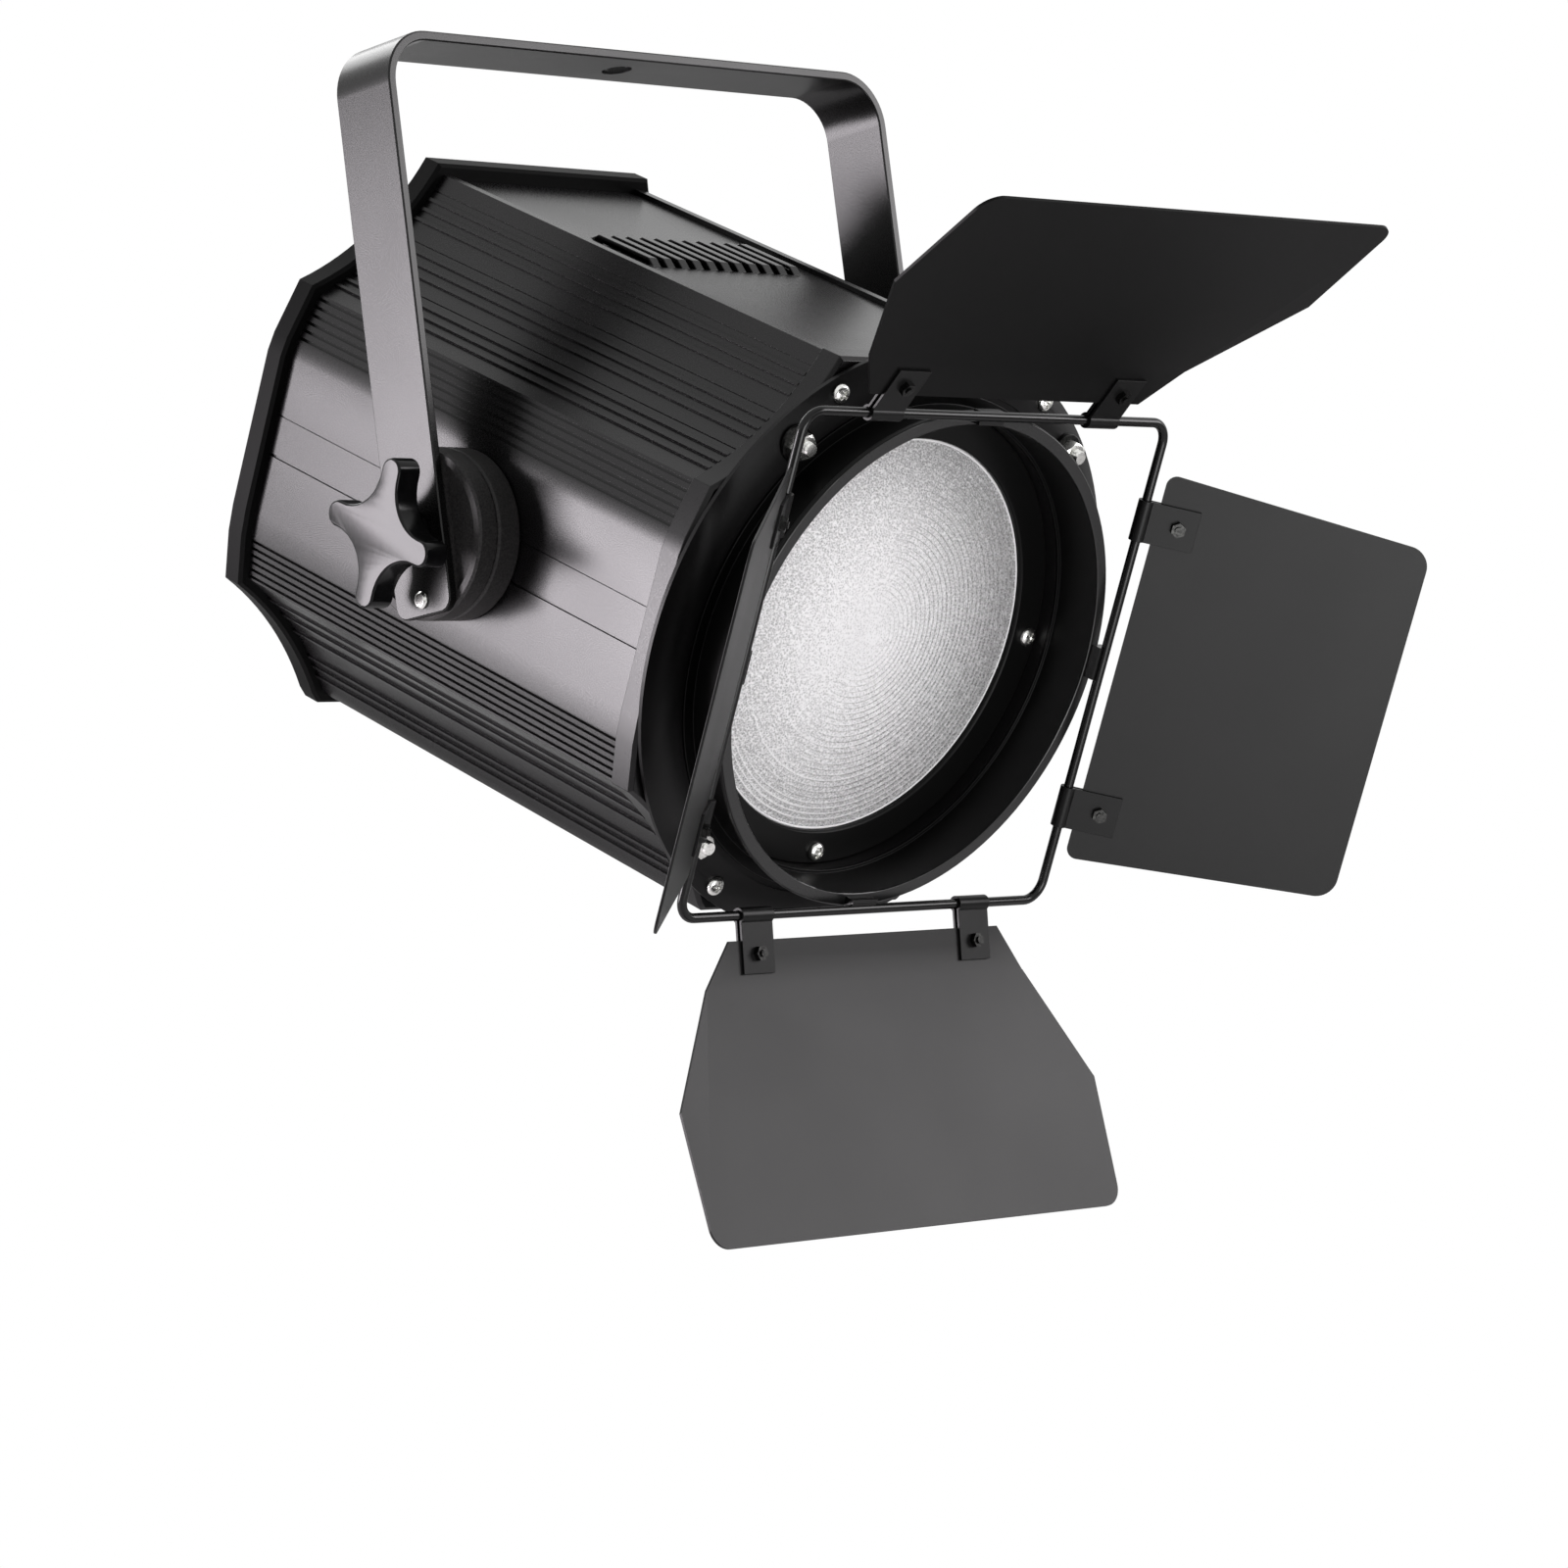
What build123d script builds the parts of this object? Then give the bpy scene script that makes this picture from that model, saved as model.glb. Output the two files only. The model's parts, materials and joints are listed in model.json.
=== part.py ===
from build123d import *
from math import cos, sin, radians, sqrt
import os

# A theatre fresnel lamp head in a yoke, with four barn doors.
# The lamp hangs from the hole in the middle of the yoke, which is the origin, on the top face of the bar.
# X is to the right seen from the front, the lamp looks along -Y and +Z is up.
# The lamp head is drawn level about its tilt axis, then tilted nose down into place.

# Half width of the lamp head, which the yoke, the front and the rear follow
side_half_width = 118.0

# Yoke
yoke_side_room = 26.0
yoke_half_width = side_half_width + yoke_side_room
yoke_drop = 204.0
yoke_tail = 33.5
bar_width = 33.0
bar_thickness = 4.0
yoke_bend_radius = 23.0
yoke_end_radius = 6.0
yoke_edge = 0.5
hang_hole_radius = 6.5
tilt_rest = 29.7

# Clamp discs, knobs and their studs
disc_radius = 35.0
yoke_disc_thickness = 9.7
disc_gap = 0.3
disc_edge = 1.0
dish_outer_radius = 31.0
dish_inner_radius = 17.0
dish_depth = 1.6
tooth_count = 24
tooth_width = 3.4
tooth_depth = 1.1
tooth_length = 7.0
stud_radius = 5.0
stud_clearance = 0.4
thread_fit = 0.08
knob_gap = 0.3
hub_radius = 9.5
hub_length = 8.4
knob_thickness = 11.3
knob_reach = 31.2
lobe_radius = 5.4
valley_radius = 18.5
knob_edge = 1.0
knob_turn = -1.2
rivet_drop = 27.0
rivet_radius = 3.6
rivet_height = 1.8
rivet_shank_radius = 2.0

# Outline of the lamp head, half of it, seen from the front
top_inset = 1.6
top_height = side_half_width - top_inset
lip_half_width = 57.7
shoulder_inset = 7.7
shoulder_half_width = side_half_width - shoulder_inset
shoulder_drop = 54.6
shoulder_height = top_height - shoulder_drop
upper_band_drop = 20.8
band_inset = 1.2
band_height = shoulder_height - upper_band_drop
facet_drop = 7.5
facet_height = band_height - facet_drop
heel_inset = 4.4
heel_half_width = side_half_width - heel_inset
heel_rise = 52.4
heel_depth = top_height - heel_rise
low_band_rise = 18.8
low_band_inset = 0.8
low_band_depth = heel_depth - low_band_rise
low_facet_rise = 11.2
low_facet_depth = low_band_depth - low_facet_rise
foot_half_width = 59.0
foot_corner = 2.6
foot_depth = top_height - foot_corner
slope_bow = 6.5
under_bow = 4.3

# Ribbed side shells and the flat panels between them
shell_wall = 2.6
shell_front = 111.5
shell_back = 126.2
lip_width = 4.7
lip_rise = 2.0
ledge_width = 8.0
panel_thickness = 2.0
panel_fit = 0.3
port_radius = 4.6
rib_width = 1.5
rib_height = 1.0
hairline_width = 0.6
hairline_depth = 0.5
band_groove_width = 1.3
band_groove_depth = 1.6
thin_groove_height = 8.9
bold_groove_depth = 8.3
bold_groove_width = 1.3
slope_hairline_shares = (0.10, 0.41, 0.70)
rib_group_shares = (0.055, 0.12, 0.185)
under_rib_shares = (0.22, 0.37, 0.52, 0.74, 0.82, 0.90)
band_groove_count = 6
low_band_groove_count = 6

# Louvred vent in the top panel
vent_width = 86.0
vent_length = 40.0
vent_front = 6.0
vent_bar_count = 11
vent_bar_width = 4.4
vent_rise = 2.6
vent_ramp = 4.0
vent_skin = 1.4

# Front bezel, flange and hood
bezel_depth = 6.3
bezel_proud = 0.8
bezel_rail = 5.4
bezel_bore_radius = top_height - bezel_rail
bezel_edge = 1.6
flange_overlap = 9.1
flange_radius = top_height + flange_overlap
flange_gap = 6.4
flange_rim = 1.8
flange_thickness = 5.0
flange_bow_width = 16.5
flange_land_radius = flange_radius - flange_bow_width
flange_recess = 1.0
collar_wall = 2.0
collar_clearance = 1.5
hood_inset = 16.4
hood_radius = top_height - hood_inset
cell_bore_inset = 1.4
cell_bore_radius = hood_radius - cell_bore_inset
hood_wall = 1.6
hood_foot_width = 7.8
hood_foot_thickness = 1.4
hood_front = 151.1
hood_lip_width = 5.6
hood_lip_radius = hood_radius + hood_lip_width
hood_lip_thickness = 2.5
hood_edge = 0.5
flange_screw_offset = 1.6
flange_screw_x = lip_half_width + flange_screw_offset
flange_screw_drop = 12.7
flange_screw_z = top_height - flange_screw_drop
flange_screw_reach = 26.0
spacer_radius = 4.4
m4_radius = 2.0
m4_hole_radius = 2.2
pan_head_radius = 4.1
pan_head_height = 2.4
spot_clearance = 0.3
cross_width = 1.1
cross_length = 4.6
cross_depth = 1.3
hood_stud_offset = 14.323139
hood_stud_angle = 46.7722
hood_stud_x = (hood_radius + hood_stud_offset) * cos(radians(hood_stud_angle))
hood_stud_z = (hood_radius + hood_stud_offset) * sin(radians(hood_stud_angle))
hood_stud_radius = 3.0
hood_stud_end = 138.6
hood_washer_radius = 7.6
hood_washer_thickness = 1.8
hood_nut_flats = 10.0
hood_nut_height = 5.0

# Lens and its ring
lens_inset = 12.0
lens_radius = hood_radius - lens_inset
lens_fit = 0.3
lens_edge_thickness = 7.0
lens_seat_width = 6.0
lens_seat_thickness = 3.0
lens_step_count = 8
lens_step_height = 1.1
lens_crown = 2.2
ring_lap = 3.7
ring_bore_radius = lens_radius - ring_lap
ring_thickness = 2.8
ring_edge = 0.8
lens_screw_offset = 5.2
lens_screw_circle = lens_radius + lens_screw_offset
lens_screw_count = 4

# Wire frame and barn door leaves
wire_radius = 2.0
frame_offset = 5.0
frame_half = hood_radius + frame_offset
frame_front = 155.9
frame_corner = 9.0
saddle_length = 14.0
saddle_width = 5.6
leaf_thickness = 1.2
leaf_corner = 9.0
blade_bend = 13.0
flap_open = 25.0
side_open = 40.0
flap_base = 10.0
flap_base_half = 78.0
flap_bend = 29.0
flap_bend_half = 92.0
flap_wide = 48.0
flap_wide_half = 120.5
flap_reach = 103.0
flap_tip_half = 118.5
side_base = 6.2
side_base_half = 84.5
side_reach = 121.0
side_tip_half = 77.0
clip_spacing = 63.0
clip_width = 17.5
clip_wall = 1.2
clip_fit = 0.08
clip_reach = 23.4
clip_bolt_reach = 15.4
m3_radius = 1.5
m3_hole_radius = 1.6
m3_head_radius = 2.9
m3_head_height = 1.8
m3_nut_flats = 5.5
m3_nut_height = 2.4
m3_end = 0.8
hex_sides = 6

# Rear cap and panel
cap_proud = 4.6
cap_depth = 14.0
cap_front_edge = 1.4
cap_back_edge = 4.0
cap_ledge = 15.0
cap_ledge_depth = 4.8
cap_opening = 7.0
rear_panel_thickness = 2.0
rear_panel_fit = 0.3
panel_screw_inset = 11.6
display_width = 62.0
display_height = 24.0
display_centre_share = 3
display_inset = 19.2
display_drop = (top_height - display_inset) / display_centre_share
display_z = top_height - display_drop
display_flange = 2.0
display_flange_thickness = 1.0
display_fit = 0.2
button_radius = 4.0
button_gap = 0.3
button_pitch = 17.0
button_drop = 23.0
button_z = display_z - button_drop
button_proud = 2.2
button_stem = 6.0
button_collar_width = 1.2
button_collar_thickness = 1.0
button_edge = 0.6
socket_count = 4
socket_side_margin = 16.0
socket_pitch = (side_half_width - socket_side_margin) / (socket_count - 1)
socket_rise = 38.4
socket_z = top_height - socket_rise
socket_flange_width = 26.0
socket_flange_height = 31.0
socket_flange_thickness = 2.0
socket_flange_corner = 3.0
socket_barrel_radius = 11.6
socket_barrel_length = 20.0
socket_well_radius = 9.4
socket_well_depth = 14.0
socket_collar_radius = 10.8
socket_collar_height = 3.0
pin_radius = 1.2
pin_circle = 4.2
pin_length = 9.0
insert_radius = 7.4
insert_height = 10.0
fuse_inset = 30.0
fuse_x = side_half_width - fuse_inset
fuse_radius = 7.5
fuse_height = 6.0
fuse_slot_width = 1.4
fuse_slot_depth = 1.6
fuse_barrel_radius = 5.6
fuse_barrel_length = 26.0
eye_x = fuse_x
eye_wire_radius = 2.6
eye_loop_radius = 14.0
eye_plate_width = 12.0
eye_plate_height = 40.0
eye_plate_thickness = 2.5
grille_inset = 34.4
grille_radius = (top_height - grille_inset) / 2
grille_slot = 3.2
grille_pitch = 6.6

# Inside: fan, heat sink, light engine, driver and control board
fan_margin = 5.0
fan_half = grille_radius + fan_margin
fan_depth = 25.0
fan_wall = 2.6
fan_bore_radius = fan_half - fan_wall
fan_corner = 4.0
fan_screw_inset = 4.8
fan_screw_spacing = fan_half - fan_screw_inset
spider_radius = 18.0
spider_thickness = 2.0
spider_arm = 5.0
fan_pin_radius = 1.5
fan_pin_length = 14.0
fan_pin_fit = 0.08
rotor_gap = 1.2
rotor_hub_radius = 17.0
rotor_tip_radius = fan_bore_radius - rotor_gap
rotor_depth = 17.0
rotor_cup_wall = 2.0
rotor_blade_count = 7
blade_thickness = 1.6
blade_pitch = 38.0
blade_chord = 20.0
sink_margin = 9.0
sink_half = fan_half + sink_margin
sink_front = 20.0
sink_base = 8.0
sink_depth = 78.0
fin_count = 16
fin_thickness = 1.8
bracket_half_height = 20.0
led_half = 20.0
led_thickness = 1.5
emitter_radius = 15.0
emitter_height = 1.0
reflector_neck_radius = 30.0
reflector_mouth_radius = 62.0
reflector_length = 66.0
reflector_wall = 1.2
reflector_flange = 6.0
driver_half_width = 38.0
driver_height = 32.0
driver_front = 20.0
driver_length = 118.0
driver_corner = 2.0
board_half_width = 50.0
board_height = 44.0
board_thickness = 1.6
board_gap = 9.4
board_drop = 42.4
board_z = top_height - board_drop
standoff_radius = 2.6
standoff_inset = 4.0
overrun = 1.0

# Places worked out from the sizes above, in the head's own frame
bezel_face = -(shell_front + bezel_depth)
flange_back = bezel_face - flange_gap
flange_face = flange_back - flange_thickness
flange_land = flange_face + flange_recess
lens_face = flange_back + flange_thickness - hood_foot_thickness + flange_recess
cell_wall_radius = lens_radius + lens_fit
collar_radius = bezel_bore_radius - collar_clearance
panel_face = shell_back + cap_ledge_depth
panel_back = panel_face + rear_panel_thickness
fan_back = panel_face
disc_seat = side_half_width
pivot_disc_end = yoke_half_width - bar_thickness - yoke_disc_thickness - disc_gap
inner_lip = lip_half_width - lip_width
ledge_edge = inner_lip - ledge_width
panel_top = top_height - lip_rise
panel_under = panel_top - panel_thickness

head_place = Location((0, 0, -yoke_drop), (tilt_rest, 0, 0))


def slab(face, near, far):
    """A flat shape drawn as seen from the front, made solid from y = near to y = far."""
    back = max(near, far)
    return extrude(Plane.XZ.offset(-back) * face, amount=abs(far - near))


def box(x, y, z):
    """A box from three (low, high) pairs."""
    size = Box(x[1] - x[0], y[1] - y[0], z[1] - z[0])
    return Pos((x[0] + x[1]) / 2, (y[0] + y[1]) / 2, (z[0] + z[1]) / 2) * size


def rod_y(x, z, radius, near, far):
    """A round rod along Y."""
    return slab(Pos(x, z) * Circle(radius), near, far)


def rod_x(radius, near, far, y=0, z=0):
    """A round rod along X."""
    low = min(near, far)
    return extrude(Plane.YZ.offset(low) * Pos(y, z) * Circle(radius), amount=abs(far - near))


def turned(*points):
    """A ring turned about the lens axis, from (radius, y) points."""
    return revolve(make_face(Polyline(*points, close=True)), Axis.Y)


def bowed(start, end, bow):
    """An arc from start to end whose middle is bowed in towards the centre of the head."""
    a, b = Vector(*start), Vector(*end)
    middle = (a + b) / 2
    return ThreePointArc(a, middle - middle.normalized() * bow, b)


def head_outline():
    """Half of the head's outline, for X below zero, from the top middle to the bottom middle."""
    band_half = side_half_width - band_inset
    low_half = side_half_width - low_band_inset
    top = (-lip_half_width, top_height)
    shoulder = (-shoulder_half_width, shoulder_height)
    heel = (-heel_half_width, -heel_depth)
    foot = (-foot_half_width, -foot_depth)
    sole = (-foot_half_width + foot_corner, -top_height)
    slope = bowed(top, shoulder, slope_bow)
    flank = Polyline(
        shoulder,
        (-band_half, band_height),
        (-side_half_width, facet_height),
        (-side_half_width, -low_facet_depth),
        (-low_half, -low_band_depth),
        heel,
    )
    under = bowed(heel, foot, under_bow)
    bottom = Polyline(foot, sole, (0, -top_height), (0, top_height), top)
    return slope, flank, under, bottom


def head_face(grow=0.0):
    """The whole outline of the head as a face, grown or shrunk by an offset."""
    slope, flank, under, bottom = head_outline()
    half = make_face([*slope.edges(), *flank.edges(), *under.edges(), *bottom.edges()])
    whole = half + mirror(half, Plane.YZ)
    whole = make_face(whole.clean().face().outer_wire().edges())
    if grow:
        whole = offset(whole, amount=grow, kind=Kind.INTERSECTION)
    return whole


def across(edge, share, width, depth):
    """A small rectangle laid across an edge, as wide along it and as deep each way as named."""
    place = edge @ share
    along = edge % share
    angle = Vector(1, 0, 0).get_signed_angle(along, Vector(0, 0, 1))
    return Pos(place.X, place.Y) * Rot(0, 0, angle) * Rectangle(width, depth * 2)


def shell_section():
    """Cross-section of the left extruded side shell with its ribs, grooves, lips and screw ports."""
    slope, flank, under, _ = head_outline()
    whole = head_face()
    hollow = head_face(-shell_wall)
    ribs = Sketch()
    for first in slope_hairline_shares:
        for step in rib_group_shares:
            ribs += across(slope.edge(), first + step, rib_width, rib_height)
    for share in under_rib_shares:
        ribs += across(under.edge(), share, rib_width, rib_height)
    skin = (whole - hollow) + (ribs - hollow)
    keep = Pos(-side_half_width - inner_lip, 0) * Rectangle(side_half_width * 2, top_height * 3)
    skin = skin & keep
    reach = lip_rise + panel_thickness + shell_wall
    for up in (1, -1):
        web = Pos(-inner_lip - lip_width / 2, up * (top_height - reach / 2)) * Rectangle(lip_width, reach)
        ledge_z = up * (panel_under - shell_wall / 2)
        ledge = Pos(-(inner_lip + ledge_edge) / 2, ledge_z) * Rectangle(ledge_width, shell_wall)
        port = Pos(-flange_screw_x, up * flange_screw_z) * Circle(port_radius)
        bore = Pos(-flange_screw_x, up * flange_screw_z) * Circle(m4_radius)
        skin = skin + ((web + port) & whole) + ledge - bore
    for share in slope_hairline_shares:
        skin -= across(slope.edge(), share, hairline_width, hairline_depth)
    upper_band = flank.edges()[0]
    lower_band = flank.edges()[-1]
    for edge, count in ((upper_band, band_groove_count), (lower_band, low_band_groove_count)):
        for i in range(count):
            skin -= across(edge, (i + 0.5) / count, band_groove_width, band_groove_depth)
    side = -side_half_width
    skin -= Pos(side, thin_groove_height) * Rectangle(hairline_depth * 2, hairline_width)
    skin -= Pos(side, -bold_groove_depth) * Rectangle(band_groove_depth, bold_groove_width)
    return skin


def side_shell():
    """Left side shell, with the hole that the clamp stud screws through."""
    shell = slab(shell_section(), -shell_front, shell_back)
    inner = -side_half_width + shell_wall * 2
    return shell - rod_x(stud_radius + stud_clearance, -side_half_width - overrun, inner)


def vent_bar(x):
    """One louvre bar, bridging the vent from front to back with ramped ends."""
    top = panel_top + vent_rise
    front = -vent_front
    back = vent_front + vent_length
    low = [(vent_front, panel_under), (vent_front, panel_top), (vent_front + vent_ramp, top)]
    low += [(back - vent_ramp, top), (back, panel_top), (back, panel_under)]
    low += [(back - vent_ramp, top - vent_skin), (vent_front + vent_ramp, top - vent_skin)]
    side = make_face(Polyline(*low, close=True))
    bar = extrude(Plane.YZ.offset(x - vent_bar_width / 2) * side, amount=vent_bar_width)
    return bar


def top_panel():
    """Flat top panel between the lips, with the louvred vent."""
    half = inner_lip - panel_fit
    panel = box((-half, half), (-shell_front, shell_back), (panel_under, panel_top))
    x = (-vent_width / 2, vent_width / 2)
    vent = box(x, (vent_front, vent_front + vent_length), (panel_under - overrun, panel_top + overrun))
    panel -= vent
    pitch = (vent_width - vent_bar_width) / (vent_bar_count - 1)
    for i in range(vent_bar_count):
        panel += vent_bar(-vent_width / 2 + vent_bar_width / 2 + i * pitch)
    return panel


def bottom_panel():
    """Flat bottom panel between the lips."""
    half = inner_lip - panel_fit
    return box((-half, half), (-shell_front, shell_back), (-panel_top, -panel_under))


def front_bezel():
    """Cast frame that closes the front of the shells, with a round opening."""
    frame = slab(head_face(bezel_proud), -shell_front, bezel_face)
    front = frame.faces().sort_by(Axis.Y)[0]
    frame = chamfer(front.outer_wire().edges(), length=bezel_edge)
    frame -= rod_y(0, 0, bezel_bore_radius, -shell_front + overrun, bezel_face - overrun)
    for x in (-flange_screw_x, flange_screw_x):
        for z in (-flange_screw_z, flange_screw_z):
            frame -= rod_y(x, z, m4_hole_radius, -shell_front + overrun, bezel_face - overrun)
    return frame


def front_flange():
    """Round cast flange in front of the bezel, with the collar and the cell that holds the lens."""
    rim = flange_back - flange_rim
    edge = (flange_radius, rim)
    land = (flange_land_radius, flange_face)
    middle = ((flange_radius + flange_land_radius) / 2, (rim + flange_face * 3) / 4)
    seat = lens_face + lens_edge_thickness
    end = seat + lens_seat_thickness
    points = [land, (flange_land_radius, flange_land), (cell_bore_radius, flange_land)]
    points += [(cell_bore_radius, lens_face), (cell_wall_radius, lens_face), (cell_wall_radius, seat)]
    points += [(lens_radius - lens_seat_width, seat), (lens_radius - lens_seat_width, end)]
    points += [(collar_radius, end), (collar_radius, flange_back), (flange_radius, flange_back), edge]
    shape = make_face([ThreePointArc(edge, middle, land), *Polyline(*points).edges()])
    flange = revolve(shape, Axis.Y)
    pocket_in = cell_wall_radius + (collar_radius - cell_wall_radius) / 2
    flange -= turned(
        (pocket_in, end + overrun),
        (pocket_in, lens_face + lens_edge_thickness / 2),
        (collar_radius - collar_wall, lens_face + lens_edge_thickness / 2),
        (collar_radius - collar_wall, end + overrun),
    )
    front = flange_face - overrun
    for x, z in corners(flange_screw_x, flange_screw_z):
        flange -= rod_y(x, z, m4_hole_radius, flange_back + overrun, front)
        flange -= rod_y(x, z, pan_head_radius + spot_clearance, screw_seat(), front)
    for x, z in corners(hood_stud_x, hood_stud_z):
        flange -= rod_y(x, z, hood_stud_radius, flange_back + overrun, front)
        flange -= rod_y(x, z, hood_washer_radius + spot_clearance, washer_seat(), front)
    return flange


def pan_screw(length):
    """Pan head cross screw pointing along +Y, with the seat of its head at the origin."""
    head = turned((0, 0), (pan_head_radius, 0), (pan_head_radius, -pan_head_height / 2),
                  (pan_head_radius * 0.7, -pan_head_height), (0, -pan_head_height))
    screw = head + rod_y(0, 0, m4_radius, 0, length)
    deep = (-pan_head_height - overrun, -pan_head_height + cross_depth)
    screw -= box((-cross_length / 2, cross_length / 2), deep, (-cross_width / 2, cross_width / 2))
    screw -= box((-cross_width / 2, cross_width / 2), deep, (-cross_length / 2, cross_length / 2))
    return screw


def hexagon(flats):
    return RegularPolygon(flats / 2, hex_sides, major_radius=False)


def flange_height(radius):
    """How far forward the flange's bowed face lies at a radius, as its y."""
    share = (flange_radius - radius) / (flange_radius - flange_land_radius)
    rim = flange_back - flange_rim
    return rim + (flange_face - rim) * (1 - (1 - share) ** 2)


def screw_seat():
    """Where the flange screws' heads seat, in spot faces on the bowed face."""
    return flange_height(sqrt(flange_screw_x ** 2 + flange_screw_z ** 2))


def washer_seat():
    """Where the hood studs' washers seat, in spot faces on the bowed face."""
    return flange_height(sqrt(hood_stud_x ** 2 + hood_stud_z ** 2))


def corners(x, z):
    return [(a * x, b * z) for a in (-1, 1) for b in (-1, 1)]


def flange_fasteners():
    """Screws, spacers, studs, washers and nuts of the front flange."""
    seat = screw_seat()
    land = washer_seat()
    nut_seat = land - hood_washer_thickness
    nut_end = nut_seat - hood_nut_height
    screws, spacers, studs, washers, nuts = [], [], [], [], []
    for x, z in corners(flange_screw_x, flange_screw_z):
        screws.append(Pos(x, seat, z) * pan_screw(flange_screw_reach))
        spacer = rod_y(x, z, spacer_radius, bezel_face, flange_back)
        spacers.append(spacer - rod_y(x, z, m4_radius, bezel_face + overrun, flange_back - overrun))
    for x, z in corners(hood_stud_x, hood_stud_z):
        studs.append(rod_y(x, z, hood_stud_radius, flange_back, -hood_stud_end))
        washer = rod_y(x, z, hood_washer_radius, land, nut_seat)
        washers.append(washer - rod_y(x, z, hood_stud_radius, land + overrun, nut_seat - overrun))
        nut = slab(Pos(x, z) * (hexagon(hood_nut_flats) - Circle(hood_stud_radius)), nut_seat, nut_end)
        nuts.append(nut)
    return screws, spacers, studs, washers, nuts


def hood():
    """Spun hood with a foot in the flange's recess and a turned-out lip."""
    outer = hood_radius + hood_wall
    foot = flange_land - hood_foot_thickness
    lip = -hood_front + hood_lip_thickness
    shell = turned(
        (cell_bore_radius, flange_land), (cell_bore_radius + hood_foot_width, flange_land),
        (cell_bore_radius + hood_foot_width, foot), (outer, foot), (outer, lip),
        (hood_lip_radius, lip), (hood_lip_radius, -hood_front), (hood_radius, -hood_front),
        (hood_radius, foot), (cell_bore_radius, foot),
    )
    front = shell.edges().filter_by(GeomType.CIRCLE).group_by(Axis.Y)[0]
    return chamfer(front, length=hood_edge)


def lens():
    """Stepped fresnel lens: a flat back, and rings that slope like the crown of a thick lens."""
    back = lens_face + lens_edge_thickness
    points = [(0, back), (lens_radius, back), (lens_radius, lens_face)]
    clear = ring_bore_radius - ring_edge
    width = clear / lens_step_count
    for i in range(lens_step_count):
        outer = clear - i * width
        inner = outer - width
        low = lens_face - lens_crown * (1 - (outer / clear) ** 2)
        high = lens_face - lens_crown * (1 - (inner / clear) ** 2) - lens_step_height * (1 - inner / clear)
        points += [(outer, low), (inner, high)]
    return turned(*points)


def lens_ring():
    """Ring that clamps the lens in its cell."""
    face = lens_face - ring_thickness
    outer = cell_bore_radius - lens_fit
    ring = turned((ring_bore_radius, lens_face), (outer, lens_face), (outer, face),
                  (ring_bore_radius + ring_edge, face), (ring_bore_radius, face + ring_edge))
    for x, z in lens_screw_places():
        ring -= rod_y(x, z, m4_hole_radius, lens_face + overrun, face - overrun)
    return ring


def lens_screw_places():
    places = []
    for i in range(lens_screw_count):
        turn = radians(i * 360 / lens_screw_count)
        places.append((lens_screw_circle * cos(turn), lens_screw_circle * sin(turn)))
    return places


def lens_screws():
    """Screws through the lens ring, each in its own threaded hole in the cell wall."""
    face = lens_face - ring_thickness
    return [Pos(x, face, z) * pan_screw(ring_thickness) for x, z in lens_screw_places()]


def barndoor_frame():
    """Square frame bent from round wire."""
    path = Plane.XZ.offset(frame_front) * RectangleRounded(frame_half * 2, frame_half * 2, frame_corner)
    path = path.face().outer_wire()
    start = Plane(origin=path @ 0, z_dir=path % 0)
    return sweep(start * Circle(wire_radius), path=path)


def frame_saddles():
    """Four blocks on the hood's lip that cradle the wire where it crosses the lip."""
    back = -hood_front
    low = frame_half - saddle_width / 2 - wire_radius / 2
    saddle = box((-saddle_length / 2, saddle_length / 2), (-frame_front, back), (low, low + saddle_width))
    saddle -= rod_x(wire_radius, -saddle_length, saddle_length, y=-frame_front, z=frame_half)
    return [Rot(0, i * 90, 0) * saddle for i in range(4)]


def leaf_hole(x):
    """Clearance hole for one clip bolt, through the leaf and its clip, along Y."""
    return rod_y(x, clip_bolt_reach, m3_hole_radius, -bar_thickness, bar_thickness)


def flap():
    """Top or bottom leaf, standing up from its hinge wire, with its bend line."""
    half = leaf_thickness / 2
    strip = make_face(Polyline(
        (-flap_base_half, flap_base), (flap_base_half, flap_base),
        (flap_bend_half, flap_bend), (-flap_bend_half, flap_bend), close=True))
    blade = make_face(Polyline(
        (-flap_bend_half, 0), (flap_bend_half, 0), (flap_wide_half, flap_wide),
        (flap_tip_half, flap_reach), (-flap_tip_half, flap_reach), (-flap_wide_half, flap_wide), close=True))
    blade = fillet(blade.vertices().group_by(Axis.Y)[-1], radius=leaf_corner)
    strip = slab(strip, half, -half)
    blade = slab(blade, half, -half)
    overlap = half * sin(radians(blade_bend))
    blade = Pos(0, 0, flap_bend - overlap) * Rot(blade_bend, 0, 0) * blade
    leaf = strip + blade
    for x in (-clip_spacing, clip_spacing):
        leaf -= leaf_hole(x)
    return leaf


def side_leaf():
    """Left or right leaf, flat, standing up from its hinge wire."""
    outline = make_face(Polyline(
        (-side_base_half, side_base), (side_base_half, side_base),
        (side_tip_half, side_reach), (-side_tip_half, side_reach), close=True))
    outline = fillet(outline.vertices().group_by(Axis.Y)[-1], radius=leaf_corner)
    outline = fillet(outline.vertices().group_by(Axis.Y)[0], radius=leaf_corner / 2)
    leaf = slab(outline, leaf_thickness / 2, -leaf_thickness / 2)
    for x in (-clip_spacing, clip_spacing):
        leaf -= leaf_hole(x)
    return leaf


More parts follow.
